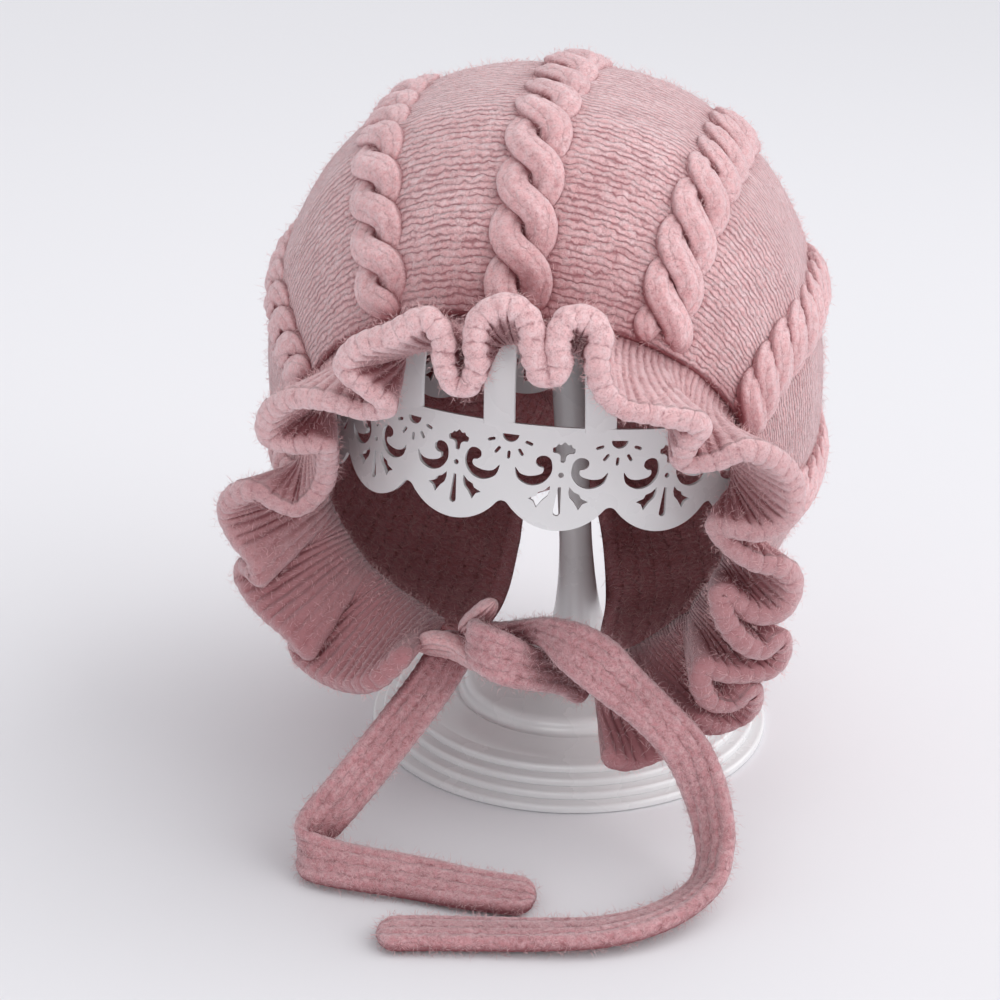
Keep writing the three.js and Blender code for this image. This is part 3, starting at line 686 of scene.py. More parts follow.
def stitch_group(name, purl):
    """Height of knitted stitches, and the dark gaps between them, on the piece's own stitch map.

    One unit of the map is one stitch. Purl stitches are short bumps, and every second row lies half a
    stitch aside. Plain stitches are columns with a furrow between them, each with slanting legs.
    """
    if name in bpy.data.node_groups:
        return bpy.data.node_groups[name]
    group, nodes, given, made = new_group(
        name,
        (("Wobble", "NodeSocketFloat", 0.3),),
        (("Height", "NodeSocketFloat"), ("Gap", "NodeSocketFloat")),
    )
    stitches = nodes.add("ShaderNodeUVMap", uv_map="stitches").outputs[0]
    place = nodes.place()
    drift = nodes.add("ShaderNodeTexNoise", {"Vector": place, "Scale": 330.0, "Detail": 2.0})
    split_drift = nodes.add("ShaderNodeSeparateXYZ", {0: drift.outputs["Color"]})
    split = nodes.add("ShaderNodeSeparateXYZ", {0: stitches})

    def wandered(axis, share):
        wander = nodes.times(nodes.math("SUBTRACT", split_drift.outputs[axis], 0.5), share)
        return nodes.plus(split.outputs[axis], nodes.times(wander, given.outputs["Wobble"]))

    u, v = wandered(0, 2.4), wandered(1, 3.2)
    if purl:
        u, v = nodes.times(u, 1.25), nodes.times(v, 1.5)
        odd = nodes.math("MODULO", nodes.size(nodes.math("ROUND", v)), 2.0)
        u = nodes.plus(u, nodes.times(odd, 0.5))
        column = nodes.size(nodes.math("COSINE", nodes.times(u, math.pi)))
        column = nodes.plus(nodes.times(column, 0.55), 0.45)
    else:
        leg = nodes.size(nodes.math("SUBTRACT", nodes.math("FRACT", u), 0.5))
        v = nodes.plus(v, leg)
        column = nodes.size(nodes.math("SINE", nodes.times(u, math.pi)))
        column = nodes.math("POWER", column, 0.5)
    row = nodes.size(nodes.math("COSINE", nodes.times(v, math.pi)))
    row = nodes.math("POWER", row, 0.8 if purl else 0.5)
    row = row if purl else nodes.plus(nodes.times(row, 0.45), 0.55)
    corner = {0: nodes.math("ROUND" if purl else "FLOOR", u), 1: nodes.math("ROUND", v)}
    cell = nodes.add("ShaderNodeCombineXYZ", corner).outputs[0]
    chance = nodes.add("ShaderNodeTexWhiteNoise", {0: cell}, noise_dimensions="2D").outputs[0]
    height = nodes.times(nodes.times(row, column), nodes.plus(nodes.times(chance, 0.75), 0.35))
    speck = nodes.noise(place, 480.0)
    gap = nodes.ramp(height, (0.1, 1.0), (0.42, 0.0))
    gap = nodes.times(gap, nodes.ramp(speck, (0.46, 0.08), (0.62, 1.0)))
    if purl:
        seldom = nodes.ramp(chance, (0.4, 1.0), (0.6, 0.0))
        dash = nodes.times(seldom, nodes.ramp(row, (0.4, 1.0), (0.9, 0.0)))
        gap = nodes.math("MAXIMUM", gap, dash)
    nodes.fill(made, {"Height": height, "Gap": gap})
    return group


def wool_material(
    name, colour, stitches, relief, heather=0.7, gap=0.7, reach=0.035, under=0.0, sheen=1.0
):
    """Soft brushed wool over a stitch pattern, with painted shade in hollows and low down."""
    material, nodes = new_material(name)
    knit = nodes.add("ShaderNodeGroup", node_tree=stitches)
    given = {
        "Colour": (*colour, 1),
        "Heather": heather,
        # reach and under set how far the painted shade looks into hollows and how much it darkens low
        # down.
        "Reach": reach,
        "Lower Shade": under,
        "Gap": nodes.times(knit.outputs["Gap"], gap),
    }
    wool = nodes.add("ShaderNodeGroup", node_tree=wool_colour_group())
    nodes.fill(wool, given)
    stitch_bump = {"Height": knit.outputs["Height"], "Distance": relief, "Strength": 1.0}
    stitch_bump = nodes.add("ShaderNodeBump", stitch_bump)
    bump = {"Height": wool.outputs["Fibre"], "Distance": FIBRE_RELIEF, "Strength": 0.9}
    bump = nodes.add("ShaderNodeBump", {**bump, "Normal": stitch_bump.outputs[0]})
    nodes.shade(
        {
            "Base Color": wool.outputs["Colour"],
            "Roughness": wool.outputs["Roughness"],
            "Normal": bump.outputs[0],
            "Specular IOR Level": 0.15,
            # Sheen is weakened where shade is painted in hollows.
            "Sheen Weight": nodes.times(wool.outputs["Outside Painted Shade"], sheen),
            "Sheen Roughness": 0.5,
            "Sheen Tint": (1.0, 0.88, 0.91, 1),
        }
    )
    return material


def paint_material(colour):
    """Gloss paint over metal, with a faint orange-peel surface and a little dust."""
    material, nodes = new_material("white_gloss_paint")
    place = nodes.place()
    peel = nodes.noise(place, 420.0)
    dust = nodes.noise(place, 38.0, 5.0)
    shade = nodes.mix(nodes.ramp(dust, (0.4, 0.0), (0.75, 0.35)), (*colour, 1), (0.70, 0.69, 0.69, 1))
    bump = nodes.add("ShaderNodeBump", {"Height": peel, "Distance": 0.05 * MM, "Strength": 0.5})
    nodes.shade(
        {
            "Base Color": shade,
            "Roughness": nodes.math("ADD", nodes.times(dust, 0.14), 0.2, True),
            "Normal": bump.outputs[0],
            "Coat Weight": 0.35,
            "Coat Roughness": 0.12,
        }
    )
    return material


def floor_material(colour):
    """Smooth matt paper, with the faintest mottling."""
    material, nodes = new_material("floor_paper")
    mottle = nodes.noise(nodes.place(), 6.0, 4.0)
    shade = nodes.mix(nodes.times(mottle, 0.06), (*colour, 1), (0.72, 0.71, 0.74, 1))
    nodes.shade({"Base Color": shade, "Roughness": 0.9, "Specular IOR Level": 0.2})
    return material


def fuzz_material(name, colour):
    """Single fibres of the wool: paler than the yarn."""
    material, nodes = new_material(name)
    pale = tuple(0.35 * c + 0.65 * p for c, p in zip(colour, (0.95, 0.76, 0.77)))
    shade = nodes.mix(nodes.noise(nodes.place(), 300.0), (*colour, 1), (*pale, 1))
    nodes.shade({"Base Color": shade, "Roughness": 0.7, "Specular IOR Level": 0.2, "Sheen Weight": 0.4})
    return material


def knit_wool(name, colour, relief, purl=False, **named):
    """The wool of that name on its stitch pattern, made the first time that it is asked for."""
    if name in bpy.data.materials:
        return bpy.data.materials[name]
    stitches = stitch_group("purl_stitches" if purl else "knit_stitches", purl)
    return wool_material(name, colour, stitches, relief, **named)


# ---------------------------------------------------------------------------
# The hood
# ---------------------------------------------------------------------------

CABLE_TURNS = (-105, -68, -30, 4, 38, 70, 105)  # degrees round the hood from its top
CABLE_END = 0.93  # how far back the cables run
RINGS_PER_ROW = 2.75  # rings of points along a cable for each stitch row
ROW_STEPS = 4  # rows of faces for each stitch row
WALE_STEPS = 3
EDGE_ROUND = 1.8 * MM  # how far in the cloth's edges are rounded


class StitchMap:
    """Turns stitch rows and columns into places on the hood, and back."""

    def __init__(self, knit):
        self.wales, self.courses = knit.wales, knit.courses
        self.at = np.linspace(0, 1, 600)
        crown = hood_point(self.at, 0.0)
        run = np.concatenate([[0], np.cumsum(np.linalg.norm(np.diff(crown, axis=0), axis=1))])
        self.course = run / run[-1] * self.courses
        self.side = np.linspace(-1, 1, 901)
        arch = hood_point(0.3, turn_at(0.3, self.side))
        run = np.concatenate([[0], np.cumsum(np.linalg.norm(np.diff(arch, axis=0), axis=1))])
        self.wale = run / run[-1] * self.wales

    def at_course(self, course):
        return np.interp(course, self.course, self.at)

    def side_at_wale(self, wale):
        return np.interp(wale, self.wale, self.side)

    def wale_at_turn(self, degrees):
        side = degrees / np.where(degrees < 0, ARCH["el"](0.3), ARCH["er"](0.3))
        return np.interp(side, self.side, self.wale)

    def place(self, course, wale):
        """at and turn for a stitch row and column."""
        at = self.at_course(course)
        return at, turn_at(at, self.side_at_wale(wale))


def purl_height(course, wale, chance):
    """Height from 0 to 1 of purl bumps, whose rows lie half a stitch aside in turn."""
    row = np.round(course)
    aside = wale + 0.5 * (row % 2)
    bump = np.abs(np.cos(math.pi * (course - row)))
    number, stitch = row.astype(int) % len(chance), np.floor(aside + 0.5).astype(int) % chance.shape[1]
    luck = chance[number, stitch]
    groove = 1 - (1 - bump) * (0.35 + 0.65 * chance[number, (stitch * 7) % chance.shape[1]])
    return groove * (0.55 + 0.45 * np.cos(TAU * aside)) * (0.3 + 0.7 * luck)


def decreases(at):
    """By how much the stitch columns have been worked together, where the hood narrows at its back."""
    ring = hood_point(at[:, None], turn_at(at[:, None], np.linspace(-1, 1, 41)[None]))
    girth = np.linalg.norm(np.diff(ring, axis=1), axis=2).sum(1)
    return 2.0 ** np.clip(np.floor(np.log2(0.40 / np.maximum(girth, 1e-4))), 0, 5)


def hood_mesh(knit):
    """The hood's cloth: a purled outside, a plain inside and rounded edges."""
    stitch = StitchMap(knit)
    rows = knit.courses * ROW_STEPS + 1
    columns = knit.wales * WALE_STEPS + 1
    course = np.linspace(0, knit.courses, rows)
    wale = np.linspace(0, knit.wales, columns)
    at = stitch.at_course(course)
    nape = int(np.argmin(np.abs(at - NAPE_AT)) // ROW_STEPS * ROW_STEPS)
    at[nape] = NAPE_AT
    side = stitch.side_at_wale(wale)
    sewn = np.arange(rows) >= nape
    turn = turn_at(at[:, None], side[None, :])
    turn[sewn] = math.pi * side
    place, normal, _ = hood_frame(at[:, None], turn)

    fewer = decreases(at)[:, None]
    chance = np.random.default_rng(11).random((knit.courses + 2, knit.wales + 2))
    wander = 0.22 * waves(place, 0.012, 12)
    bumps = purl_height(course[:, None] + wander, wale[None, :] / fewer, chance)
    height = knit.purl_relief * (bumps - 0.5)
    for degrees in CABLE_TURNS:
        off = (wale[None, :] - stitch.wale_at_turn(degrees)) * 4.4 * MM
        furrow = np.exp(-(((np.abs(off) - 7.6 * MM) / (1.5 * MM)) ** 2))
        height = height - 0.25 * MM * furrow * (at[:, None] < CABLE_END)
    place = place + waves(place, 0.05, 3)[..., None] * 0.5 * MM * normal

    from_side = np.where(sewn[:, None], 1.0, np.minimum(wale, wale[::-1]) * 4 * MM)
    from_edge = np.minimum(course[:, None] * 2.7 * MM, from_side)
    inward = 1 - np.clip(from_edge / EDGE_ROUND, 0, 1)
    rounding = CLOTH / 2 * (1 - np.sqrt(1 - inward**2))
    fade = np.clip(from_edge / (3 * MM), 0, 1)
    outside = place + (height * fade - rounding)[..., None] * normal
    inside = (place - (CLOTH - rounding)[..., None] * normal)[::ROW_STEPS, ::WALE_STEPS]

    # The last row of the grid is the crown's end point, and the sewn columns are one seam.
    out_index = np.arange(outside[:, :, 0].size).reshape(rows, columns)
    in_index = out_index.size + np.arange(inside[:, :, 0].size).reshape(inside.shape[:2])
    weld = np.arange(out_index.size + in_index.size)
    weld[out_index[sewn, -1]] = out_index[sewn, 0]
    weld[out_index[-1]] = out_index[-1, 0]
    free = np.arange(in_index.shape[0]) * ROW_STEPS <= nape
    weld[in_index[~free, -1]] = in_index[~free, 0]
    weld[in_index[free, 0]] = weld[out_index[::ROW_STEPS][free, 0]]
    weld[in_index[free, -1]] = weld[out_index[::ROW_STEPS][free, -1]]
    weld[in_index[0]] = out_index[0, ::WALE_STEPS]
    weld[in_index[-1]] = in_index[-1, 0]

    last = out_index[-2]
    crown = np.stack([last[:-1], last[1:], np.full(columns - 1, out_index[-1, 0])], axis=1)
    faces = [grid_faces(out_index[:-1]), crown]
    last = in_index[-2]
    faces.append(np.stack([np.full(len(last) - 1, in_index[-1, 0]), last[1:], last[:-1]], axis=1))
    plain, edged = np.ones((in_index.shape[0] - 2, in_index.shape[1] - 1), bool), []
    plain[0] = False
    plain[free[1:-1], 0] = False
    plain[free[1:-1], -1] = False
    for i, j in zip(*np.nonzero(~plain)):
        ring = [in_index[i + 1, j], in_index[i + 1, j + 1]]
        if j == plain.shape[1] - 1 and free[i + 1]:
            ring += list(out_index[ROW_STEPS * i + 1 : ROW_STEPS * (i + 1), -1][::-1])
        ring += [in_index[i, j + 1]]
        if i == 0:
            ring += list(out_index[0, WALE_STEPS * j + 1 : WALE_STEPS * (j + 1)][::-1])
        ring += [in_index[i, j]]
        if j == 0 and free[i + 1]:
            ring += list(out_index[ROW_STEPS * i + 1 : ROW_STEPS * (i + 1), 0])
        edged.append(ring)
    quads = grid_faces(in_index[:-1], flip=True)
    faces.append(quads[plain.ravel()])
    for count in sorted({len(ring) for ring in edged}):
        faces.append(np.array([ring for ring in edged if len(ring) == count]))

    uv = pairs(wale[None, :] / fewer, course[:, None])
    uv = np.concatenate([uv.reshape(-1, 2), uv[::ROW_STEPS, ::WALE_STEPS].reshape(-1, 2)])
    points = np.concatenate([outside.reshape(-1, 3), inside.reshape(-1, 3)])
    piece = new_piece("hood_cloth", points, faces, uv, weld)
    outer = len(faces[0]) + len(faces[1])
    inner = np.zeros(len(piece.data.polygons), np.int32)
    inner[outer:] = 1
    return piece, inner


def strand_relief(around, along):
    """Height from -1 to 1 of a strand's four columns of stitches, one stitch a unit along."""
    column = np.abs(np.sin(3 * around)) ** 0.7
    stitch = np.abs(np.cos(math.pi * along)) ** 0.8
    return 1.2 * column + 0.3 * stitch - 0.9


def cable_mesh(knit, number, degrees):
    """Two strands that cross each other every few rows, as one mesh of two closed tubes."""
    stitch = StitchMap(knit)
    first, last = 0.35, float(np.interp(CABLE_END, stitch.at, stitch.course))
    sides = 18
    rings = int((last - first) * RINGS_PER_ROW)
    course = np.linspace(first, last, rings)
    at, turn = stitch.place(course, stitch.wale_at_turn(degrees))
    middle, normal, round_ = hood_frame(at, turn)
    arch = np.linalg.norm(hood_point(at, turn + 0.05) - hood_point(at, turn - 0.05), axis=-1)
    girth = np.clip(arch / (6.5 * MM), 0.5, 1)
    a = np.linspace(0, TAU, sides + 1)
    end = np.minimum(course - first, last - course)
    taper = np.sqrt(np.clip(end / 1.2, 0.02, 1))[:, None]
    points, faces, uv, weld, made = [], [], [], [], 0
    for strand in (0, 1):
        phase = math.pi * (course / knit.crossing_rows + strand) + 0.9 * number
        sway = knit.cable_sway * np.sin(phase + 0.15 * np.sin(2 * phase)) * girth
        lift = (-0.5 + 1.3 * np.cos(phase)) * MM
        line = middle - sway[:, None] * round_ + lift[:, None] * normal
        ahead = unit(np.gradient(line, axis=0))
        across = unit(np.cross(normal, ahead))
        up = np.cross(ahead, across)
        wide = knit.strand_width / 2 * girth[:, None] * taper
        high = knit.strand_height / 2 * (1 + 0.12 * np.cos(phase))[:, None] * taper
        c, s = np.cos(a), np.sin(a)
        relief = 0.42 * MM * strand_relief(a[None, :], course[:, None]) * taper
        ring = (wide + relief) * c[None, :]
        rise = (high + relief) * powered(s, 1.1)[None, :]
        tube = line[:, None] + ring[..., None] * across[:, None] + rise[..., None] * up[:, None]
        points.append(with_ends(tube, line))
        quads, caps, seam = tube_faces(rings, sides, made)
        faces += [quads, caps]
        weld.append(seam)
        stitches = pairs(6 * a[None, :] / TAU, course[:, None]).reshape(-1, 2)
        uv.append(np.concatenate([stitches, stitches[:1], stitches[-1:]]))
        made += len(points[-1])
    faces = [np.concatenate(faces[::2]), np.concatenate(faces[1::2])]
    points, uv, weld = np.concatenate(points), np.concatenate(uv), np.concatenate(weld)
    return new_piece(f"cable_{number + 1}", points, faces, uv, weld)


# ---------------------------------------------------------------------------
# The frill and the ties
# ---------------------------------------------------------------------------


FRILL_RIBS = 200
RIB_STEPS = 8  # rows of faces for each rib
TIE_STEP = 0.75  # millimetres between two rings of a tie
TIE_STITCH = 2.9  # length of a tie's stitch in millimetres


def frill_mesh(knit):
    """The gathered frill: a thick ribbed strip with a rounded free edge."""
    ribs = FRILL_RIBS
    rows, columns = ribs * RIB_STEPS + 1, 18
    mid, length = frill_strips(rows, columns)
    t = np.linspace(0, 1, columns)
    along = np.gradient(mid, axis=0)
    down = unit(np.gradient(mid, axis=1))
    normal = unit(np.cross(along, down))
    mid = mid - np.clip(1 - t / 0.3, 0, 1)[None, :, None] * down * 3 * MM
    rib = np.arange(rows) / (rows - 1) * ribs
    tight = np.clip(np.linalg.norm(along, axis=2) / (length / (rows - 1)), 0.3, 1)
    swell = waves(mid, 0.03, 5)
    furrow = 1 - np.abs(np.cos(math.pi * (rib[:, None] + 0.12 * swell))) ** 0.6
    end = np.minimum(np.arange(rows), np.arange(rows)[::-1]) * length / (rows - 1)
    blunt = np.sqrt(np.clip(1 - (1 - np.clip((end + 0.1 * MM) / (3.6 * MM), 0, 1)) ** 2, 0, 1))[:, None]
    mid = mid - ((1 - blunt) * t[None, :] * 5 * MM)[..., None] * down
    half = knit.frill_cloth / 2 * (0.62 + 0.38 * tight) * (0.78 + 0.22 * t)[None, :]
    half = half * (1 + 0.05 * swell) * blunt
    row_bump = 0.12 * MM * np.cos(TAU * 12 * t)[None, :] * (t < 0.85)[None, :]
    ripple = (0.25 - 1.0 * furrow) * MM * tight * blunt
    outer = (half + ripple + row_bump)[..., None] * normal

    # The free edge is a half round between the two faces.
    turns = np.linspace(0, math.pi, 9)[1:-1]
    rim = mid[:, -1:] + half[:, -1:, None] * (
        np.cos(turns)[None, :, None] * normal[:, -1:] + 0.75 * np.sin(turns)[None, :, None] * down[:, -1:]
    )
    rim += 0.25 * ripple[:, -1:, None] * (
        np.cos(turns)[None, :, None] * normal[:, -1:] + np.sin(turns)[None, :, None] * down[:, -1:]
    )
    pull = half[:, -1:, None] * 0.75 * down[:, -1:]
    skin = np.concatenate([mid + outer, rim, (mid - outer)[:, ::-1]], axis=1) - pull
    around = skin.shape[1]
    index = np.arange(rows * around).reshape(rows, around)
    faces = [grid_faces(index, flip=True)]
    faces.append(grid_faces(index[:, [-1, 0]], flip=True))
    far = around - 1 - np.arange(columns)
    for row, turned_round in ((0, False), (rows - 1, True)):
        ladder = np.stack([index[row, :columns], index[row, far]])
        faces.append(grid_faces(ladder, flip=turned_round))
        cap = index[row, columns - 1 : columns + len(turns) + 1]
        faces.append(cap[None, ::-1] if turned_round else cap[None, :])
    run = np.concatenate([t * 12, 12 + turns / math.pi * 2, 14 + (1 - t) * 12])
    uv = pairs(rib[:, None] + 0.5, run[None, :]).reshape(-1, 2)
    return new_piece("frill_cloth", skin.reshape(-1, 3), faces, uv)


def tie_mesh(name, route):
    """A flat knitted band along its route, with a rib at each edge and stitches between them."""
    _, length = smooth_path(route, 50)
    rings, sides = int(length / (TIE_STEP * MM)), 44
    path, _ = smooth_path(route, rings)
    line, lean, share = path[:, :3], np.radians(path[:, 3:4]), path[:, 4:5]
    ahead = unit(np.gradient(line, axis=0))
    level = unit(np.stack([ahead[:, 1], -ahead[:, 0], 0 * ahead[:, 0]], axis=1))
    up = np.cross(level, ahead)
    across = np.cos(lean) * level + np.sin(lean) * up
    face = np.cross(ahead, across)
    a = np.linspace(0, TAU, sides + 1)
    c, s = powered(np.cos(a), 0.7), powered(np.sin(a), 0.7)
    along = np.arange(rings) * TIE_STEP / TIE_STITCH
    column = 2 * c
    ribs = np.abs(np.sin(math.pi * column)) ** 0.7
    stitch = np.abs(np.cos(math.pi * (along[:, None] + np.abs((column % 1) - 0.5)[None, :]))) ** 0.6
    relief = (0.75 * (ribs[None, :] - 0.6) + 0.2 * stitch) * MM
    end = np.minimum(np.arange(rings), np.arange(rings)[::-1]) * TIE_STEP
    taper = np.sqrt(np.clip(1 - (1 - np.clip((end + 0.03) / 5.5, 0, 1)) ** 2, 0, 1))[:, None]
    wide = (TIE_WIDTH / 2 * share + 0.08 * MM * np.cos(TAU * along)[:, None]) * taper
    high = (TIE_CLOTH / 2 - 0.1 * MM) * taper
    out = (high + relief * taper) * s
    tube = line[:, None] + (wide * c)[..., None] * across[:, None] + out[..., None] * face[:, None]
    quads, caps, weld = tube_faces(rings, sides)
    uv = pairs((2 * c)[None, :], along[:, None]).reshape(-1, 2)
    uv = np.concatenate([uv, uv[:1], uv[-1:]])
    return new_piece(name, with_ends(tube, line), [quads, caps], uv, weld), line, length


# ---------------------------------------------------------------------------
# The fuzz
# ---------------------------------------------------------------------------


def surface_samples(pieces, count, rng):
    """Points spread evenly over the pieces, with the normals there."""
    corners = []
    for piece in pieces:
        mesh = piece.data
        mesh.calc_loop_triangles()
        place = np.empty(3 * len(mesh.vertices))
        mesh.vertices.foreach_get("co", place)
        index = np.empty(3 * len(mesh.loop_triangles), np.int32)
        mesh.loop_triangles.foreach_get("vertices", index)
        corners.append(place.reshape(-1, 3)[index.reshape(-1, 3)])
    corners = np.concatenate(corners)
    face = np.cross(corners[:, 1] - corners[:, 0], corners[:, 2] - corners[:, 0])
    area = np.linalg.norm(face, axis=1)
    pick = rng.choice(len(area), count, p=area / area.sum())
    a, b = np.sqrt(rng.random((count, 1))), rng.random((count, 1))
    one, two, three = corners[pick].transpose(1, 0, 2)
    return one * (1 - a) + two * a * (1 - b) + three * a * b, unit(face[pick])


def fuzz_piece(name, pieces, count, length, seed):
    """Loose fibres on the pieces: each is a thin bent spindle, rooted in the wool."""
    rng = np.random.default_rng(seed)
    root, normal = surface_samples(pieces, count, rng)
    aside = unit(np.cross(normal, rng.normal(size=(count, 3))))
    rise = np.radians(rng.uniform(8, 62, (count, 1)))
    way = np.cos(rise) * aside + np.sin(rise) * normal
    reach = length * rng.uniform(0.5, 1.3, (count, 1))
    bend = unit(way + rng.normal(size=(count, 3)) * 0.45 - 0.15 * normal)
    root = root - 0.25 * MM * normal
    middle = root + reach * 0.5 * way
    tip = middle + reach * 0.5 * bend
    one = unit(np.cross(way, rng.normal(size=(count, 3))))
    two = np.cross(way, one)
    thick = rng.uniform(0.035, 0.065, (count, 1)) * MM
    ring = [middle + thick * (math.cos(a) * one + math.sin(a) * two) for a in (0, TAU / 3, 2 * TAU / 3)]
    points = np.stack([root, *ring, tip], axis=1).reshape(-1, 3)
    spindle = np.array([(0, 2, 1), (0, 3, 2), (0, 1, 3), (4, 1, 2), (4, 2, 3), (4, 3, 1)])
    faces = (np.arange(count)[:, None, None] * 5 + spindle[None]).reshape(-1, 3)
    return new_piece(name, points, [faces])


# ---------------------------------------------------------------------------
# The stand
# ---------------------------------------------------------------------------

LOBES = 15
LOBE_ANGLE = TAU / LOBES
BAND_RADIUS = 70 * MM
BAND_HEIGHT = 29 * MM
LOBE_DEPTH = 7.1 * MM
HALF_LOBE = BAND_RADIUS * LOBE_ANGLE / 2
CUSP_RADIUS = 2.1 * MM
FIRST_CUSP = rad(-39.6)
BAND_PLACE = (
    Matrix.Translation((-0.0028, 0, 0.0877))
    @ Matrix.Rotation(rad(-3.7), 4, "X")
    @ Matrix.Rotation(rad(3), 4, "Y")
)
PATTERN_LEAN = 0.06
RIBS = 16
FIRST_RIB = rad(-39.7)
HUB_TOP = CAGE_BOX[1].z
HUB_X = -7 * MM
HUB_HEIGHT = 3.5 * MM


def arc(across, up, radius, start, end, count=10, squash=1.0):
    """Points in millimetres on an arc, with its angles in degrees."""
    angles = np.radians(np.linspace(start, end, count))
    return [(across + radius * math.cos(a), up + radius * squash * math.sin(a)) for a in angles]


def rounded(points, count=6):
    """A closed smooth outline through the points."""
    ring = np.array(points + points[:3], float)
    out = []
    for p0, p1, p2, p3 in zip(ring, ring[1:], ring[2:], ring[3:]):
        for t in np.arange(count) / count:
            bow = (2 * p0 - 5 * p1 + 4 * p2 - p3) * t * t
            twist = (3 * p1 - p0 - 3 * p2 + p3) * t**3
            out.append(tuple(0.5 * (2 * p1 + (p2 - p0) * t + bow + twist)))
    return out


def mirrored(outline):
    """The outline's mirror image, still running the same way round."""
    return [(-x, y) for x, y in reversed(outline)]


def anticlockwise(outline):
    """The outline, turned round if it runs clockwise."""
    x, y = np.array(outline).T
    area = np.dot(x, np.roll(y, -1)) - np.dot(y, np.roll(x, -1))
    return outline if area > 0 else outline[::-1]


def lobe_cuts():
    """Cut-work of one lobe, in millimetres from its middle and its tip."""
    half = [(0.95, 24.2), (1.7, 24.4), (2.2, 23.6), (3.0, 23.2)]
    half += [(2.8, 22.0), (1.6, 21.8), (0.8, 21.1), (0.55, 19.5)]
    shell = rounded([(0, 25)] + half + mirrored(half), 4)
    scroll = [(-12.5, 17.0), (-11.8, 14.2), (-9.7, 12.7), (-7.2, 12.3), (-4.5, 13.4), (-2.7, 16.0)]
    scroll += [(-2.7, 18.7), (-3.6, 20.4), (-5.2, 20.9), (-6.8, 20.2), (-7.1, 18.7), (-6.1, 17.7)]
    scroll += [(-4.9, 17.4), (-5.0, 16.1), (-6.4, 15.3), (-8.8, 14.9), (-11, 15.4)]
    scroll = rounded(scroll, 4)
    leaf = [(-2.6, 12.6), (-4, 11.2), (-5.5, 10.6), (-6, 9.5), (-8.1, 8.6)]
    leaf += [(-6.6, 7.9), (-5.7, 6.2), (-4.3, 8.3), (-3, 9.6), (-2.5, 11.1)]
    ray = [(0.4, 12.4), (-0.4, 12.4)] + arc(0, 5.2, 1.0, 180, 360, 7)
    dot = arc(0, 15.8, 0.75, 0, 330, 12)
    return [shell, dot, scroll, mirrored(scroll), leaf, mirrored(leaf), ray]


def cusp_cuts():
    """The half-moon and its rays above a cusp, in millimetres from the cusp and the lobes' tips."""
    cuts = [arc(0, 25.9, 2.3, 180, 360, 12, squash=0.95)]
    for ray in (-72, -36, 0, 36, 72):
        c, s = math.cos(rad(ray)), math.sin(rad(ray))
        turn = np.array(((c, s), (-s, c)))
        slot = arc(0, -4.75, 0.46, 0, 180, 5) + arc(0, -6.15, 0.46, 180, 360, 5)
        cuts.append([tuple(np.array(p) @ turn + (0, 25.6)) for p in slot])
    return cuts


def lobe_edge(middle):
    """The lower edge of one lobe, with the rounded cusp on its right, in metres."""
    span = (HALF_LOBE**2 + LOBE_DEPTH**2) / (2 * LOBE_DEPTH)
    radius = span - CUSP_RADIUS
    swing = math.asin(HALF_LOBE / span)
    bow = np.linspace(-swing, swing, 21)
    edge = [(middle + radius * math.sin(a), radius * (1 - math.cos(a))) for a in bow]
    for a in np.linspace(swing, -swing, 11)[1:-1]:
        across = middle + HALF_LOBE - CUSP_RADIUS * math.sin(a)
        edge.append((across, LOBE_DEPTH + CUSP_RADIUS * (math.cos(a) - 1)))
    return edge


def flat_lobe(bends=10):
    """One lobe of the band as a flat pierced sheet, from notch to notch, cut into strips for bending."""
    outline = [p for middle in (-2, 0, 2) for p in lobe_edge(middle * HALF_LOBE)]
    left, right = outline[0][0], outline[-1][0]
    outline += [(right, BAND_HEIGHT), (left, BAND_HEIGHT)]

    def leaning(cut, middle):
        return [(middle + (x + PATTERN_LEAN * y) * MM, y * MM) for x, y in cut]

    def within(cut):
        across = [x for x, _ in cut]
        return min(across) > left and max(across) < right

    cuts = []
    for middle in (-2 * HALF_LOBE, 0, 2 * HALF_LOBE):
        cuts += [leaning(cut, middle) for cut in lobe_cuts()]
    for middle in (-HALF_LOBE, HALF_LOBE):
        cuts += [leaning(cut, middle) for cut in cusp_cuts()]
    outlines = [outline] + [cut for cut in cuts if within(cut)]
    points, loops = [], []
    for o in map(anticlockwise, outlines):
        loops.append(list(range(len(points), len(points) + len(o))))
        points += [Vector((x, y)) for x, y in o]
    made, _, faces, _, _, inside = delaunay_2d_cdt(points, [], loops, 1, 1e-7)
    flat = bmesh.new()
    corners = [flat.verts.new((p.x, p.y, 0)) for p in made]
    for face, loops_round_it in zip(faces, inside):
        if list(loops_round_it) == [0]:
            flat.faces.new([corners[k] for k in face])
    for k in range(bends + 1):
        x = (2 * k / bends - 1) * HALF_LOBE
        bmesh.ops.bisect_plane(
            flat,
            geom=flat.verts[:] + flat.edges[:] + flat.faces[:],
            dist=1e-7,
            plane_co=(x, 0, 0),
            plane_no=(1, 0, 0),
            clear_inner=k == 0,
            clear_outer=k == bends,
        )
    bmesh.ops.triangulate(flat, faces=flat.faces[:])
    bmesh.ops.recalc_face_normals(flat, faces=flat.faces[:])
    return flat


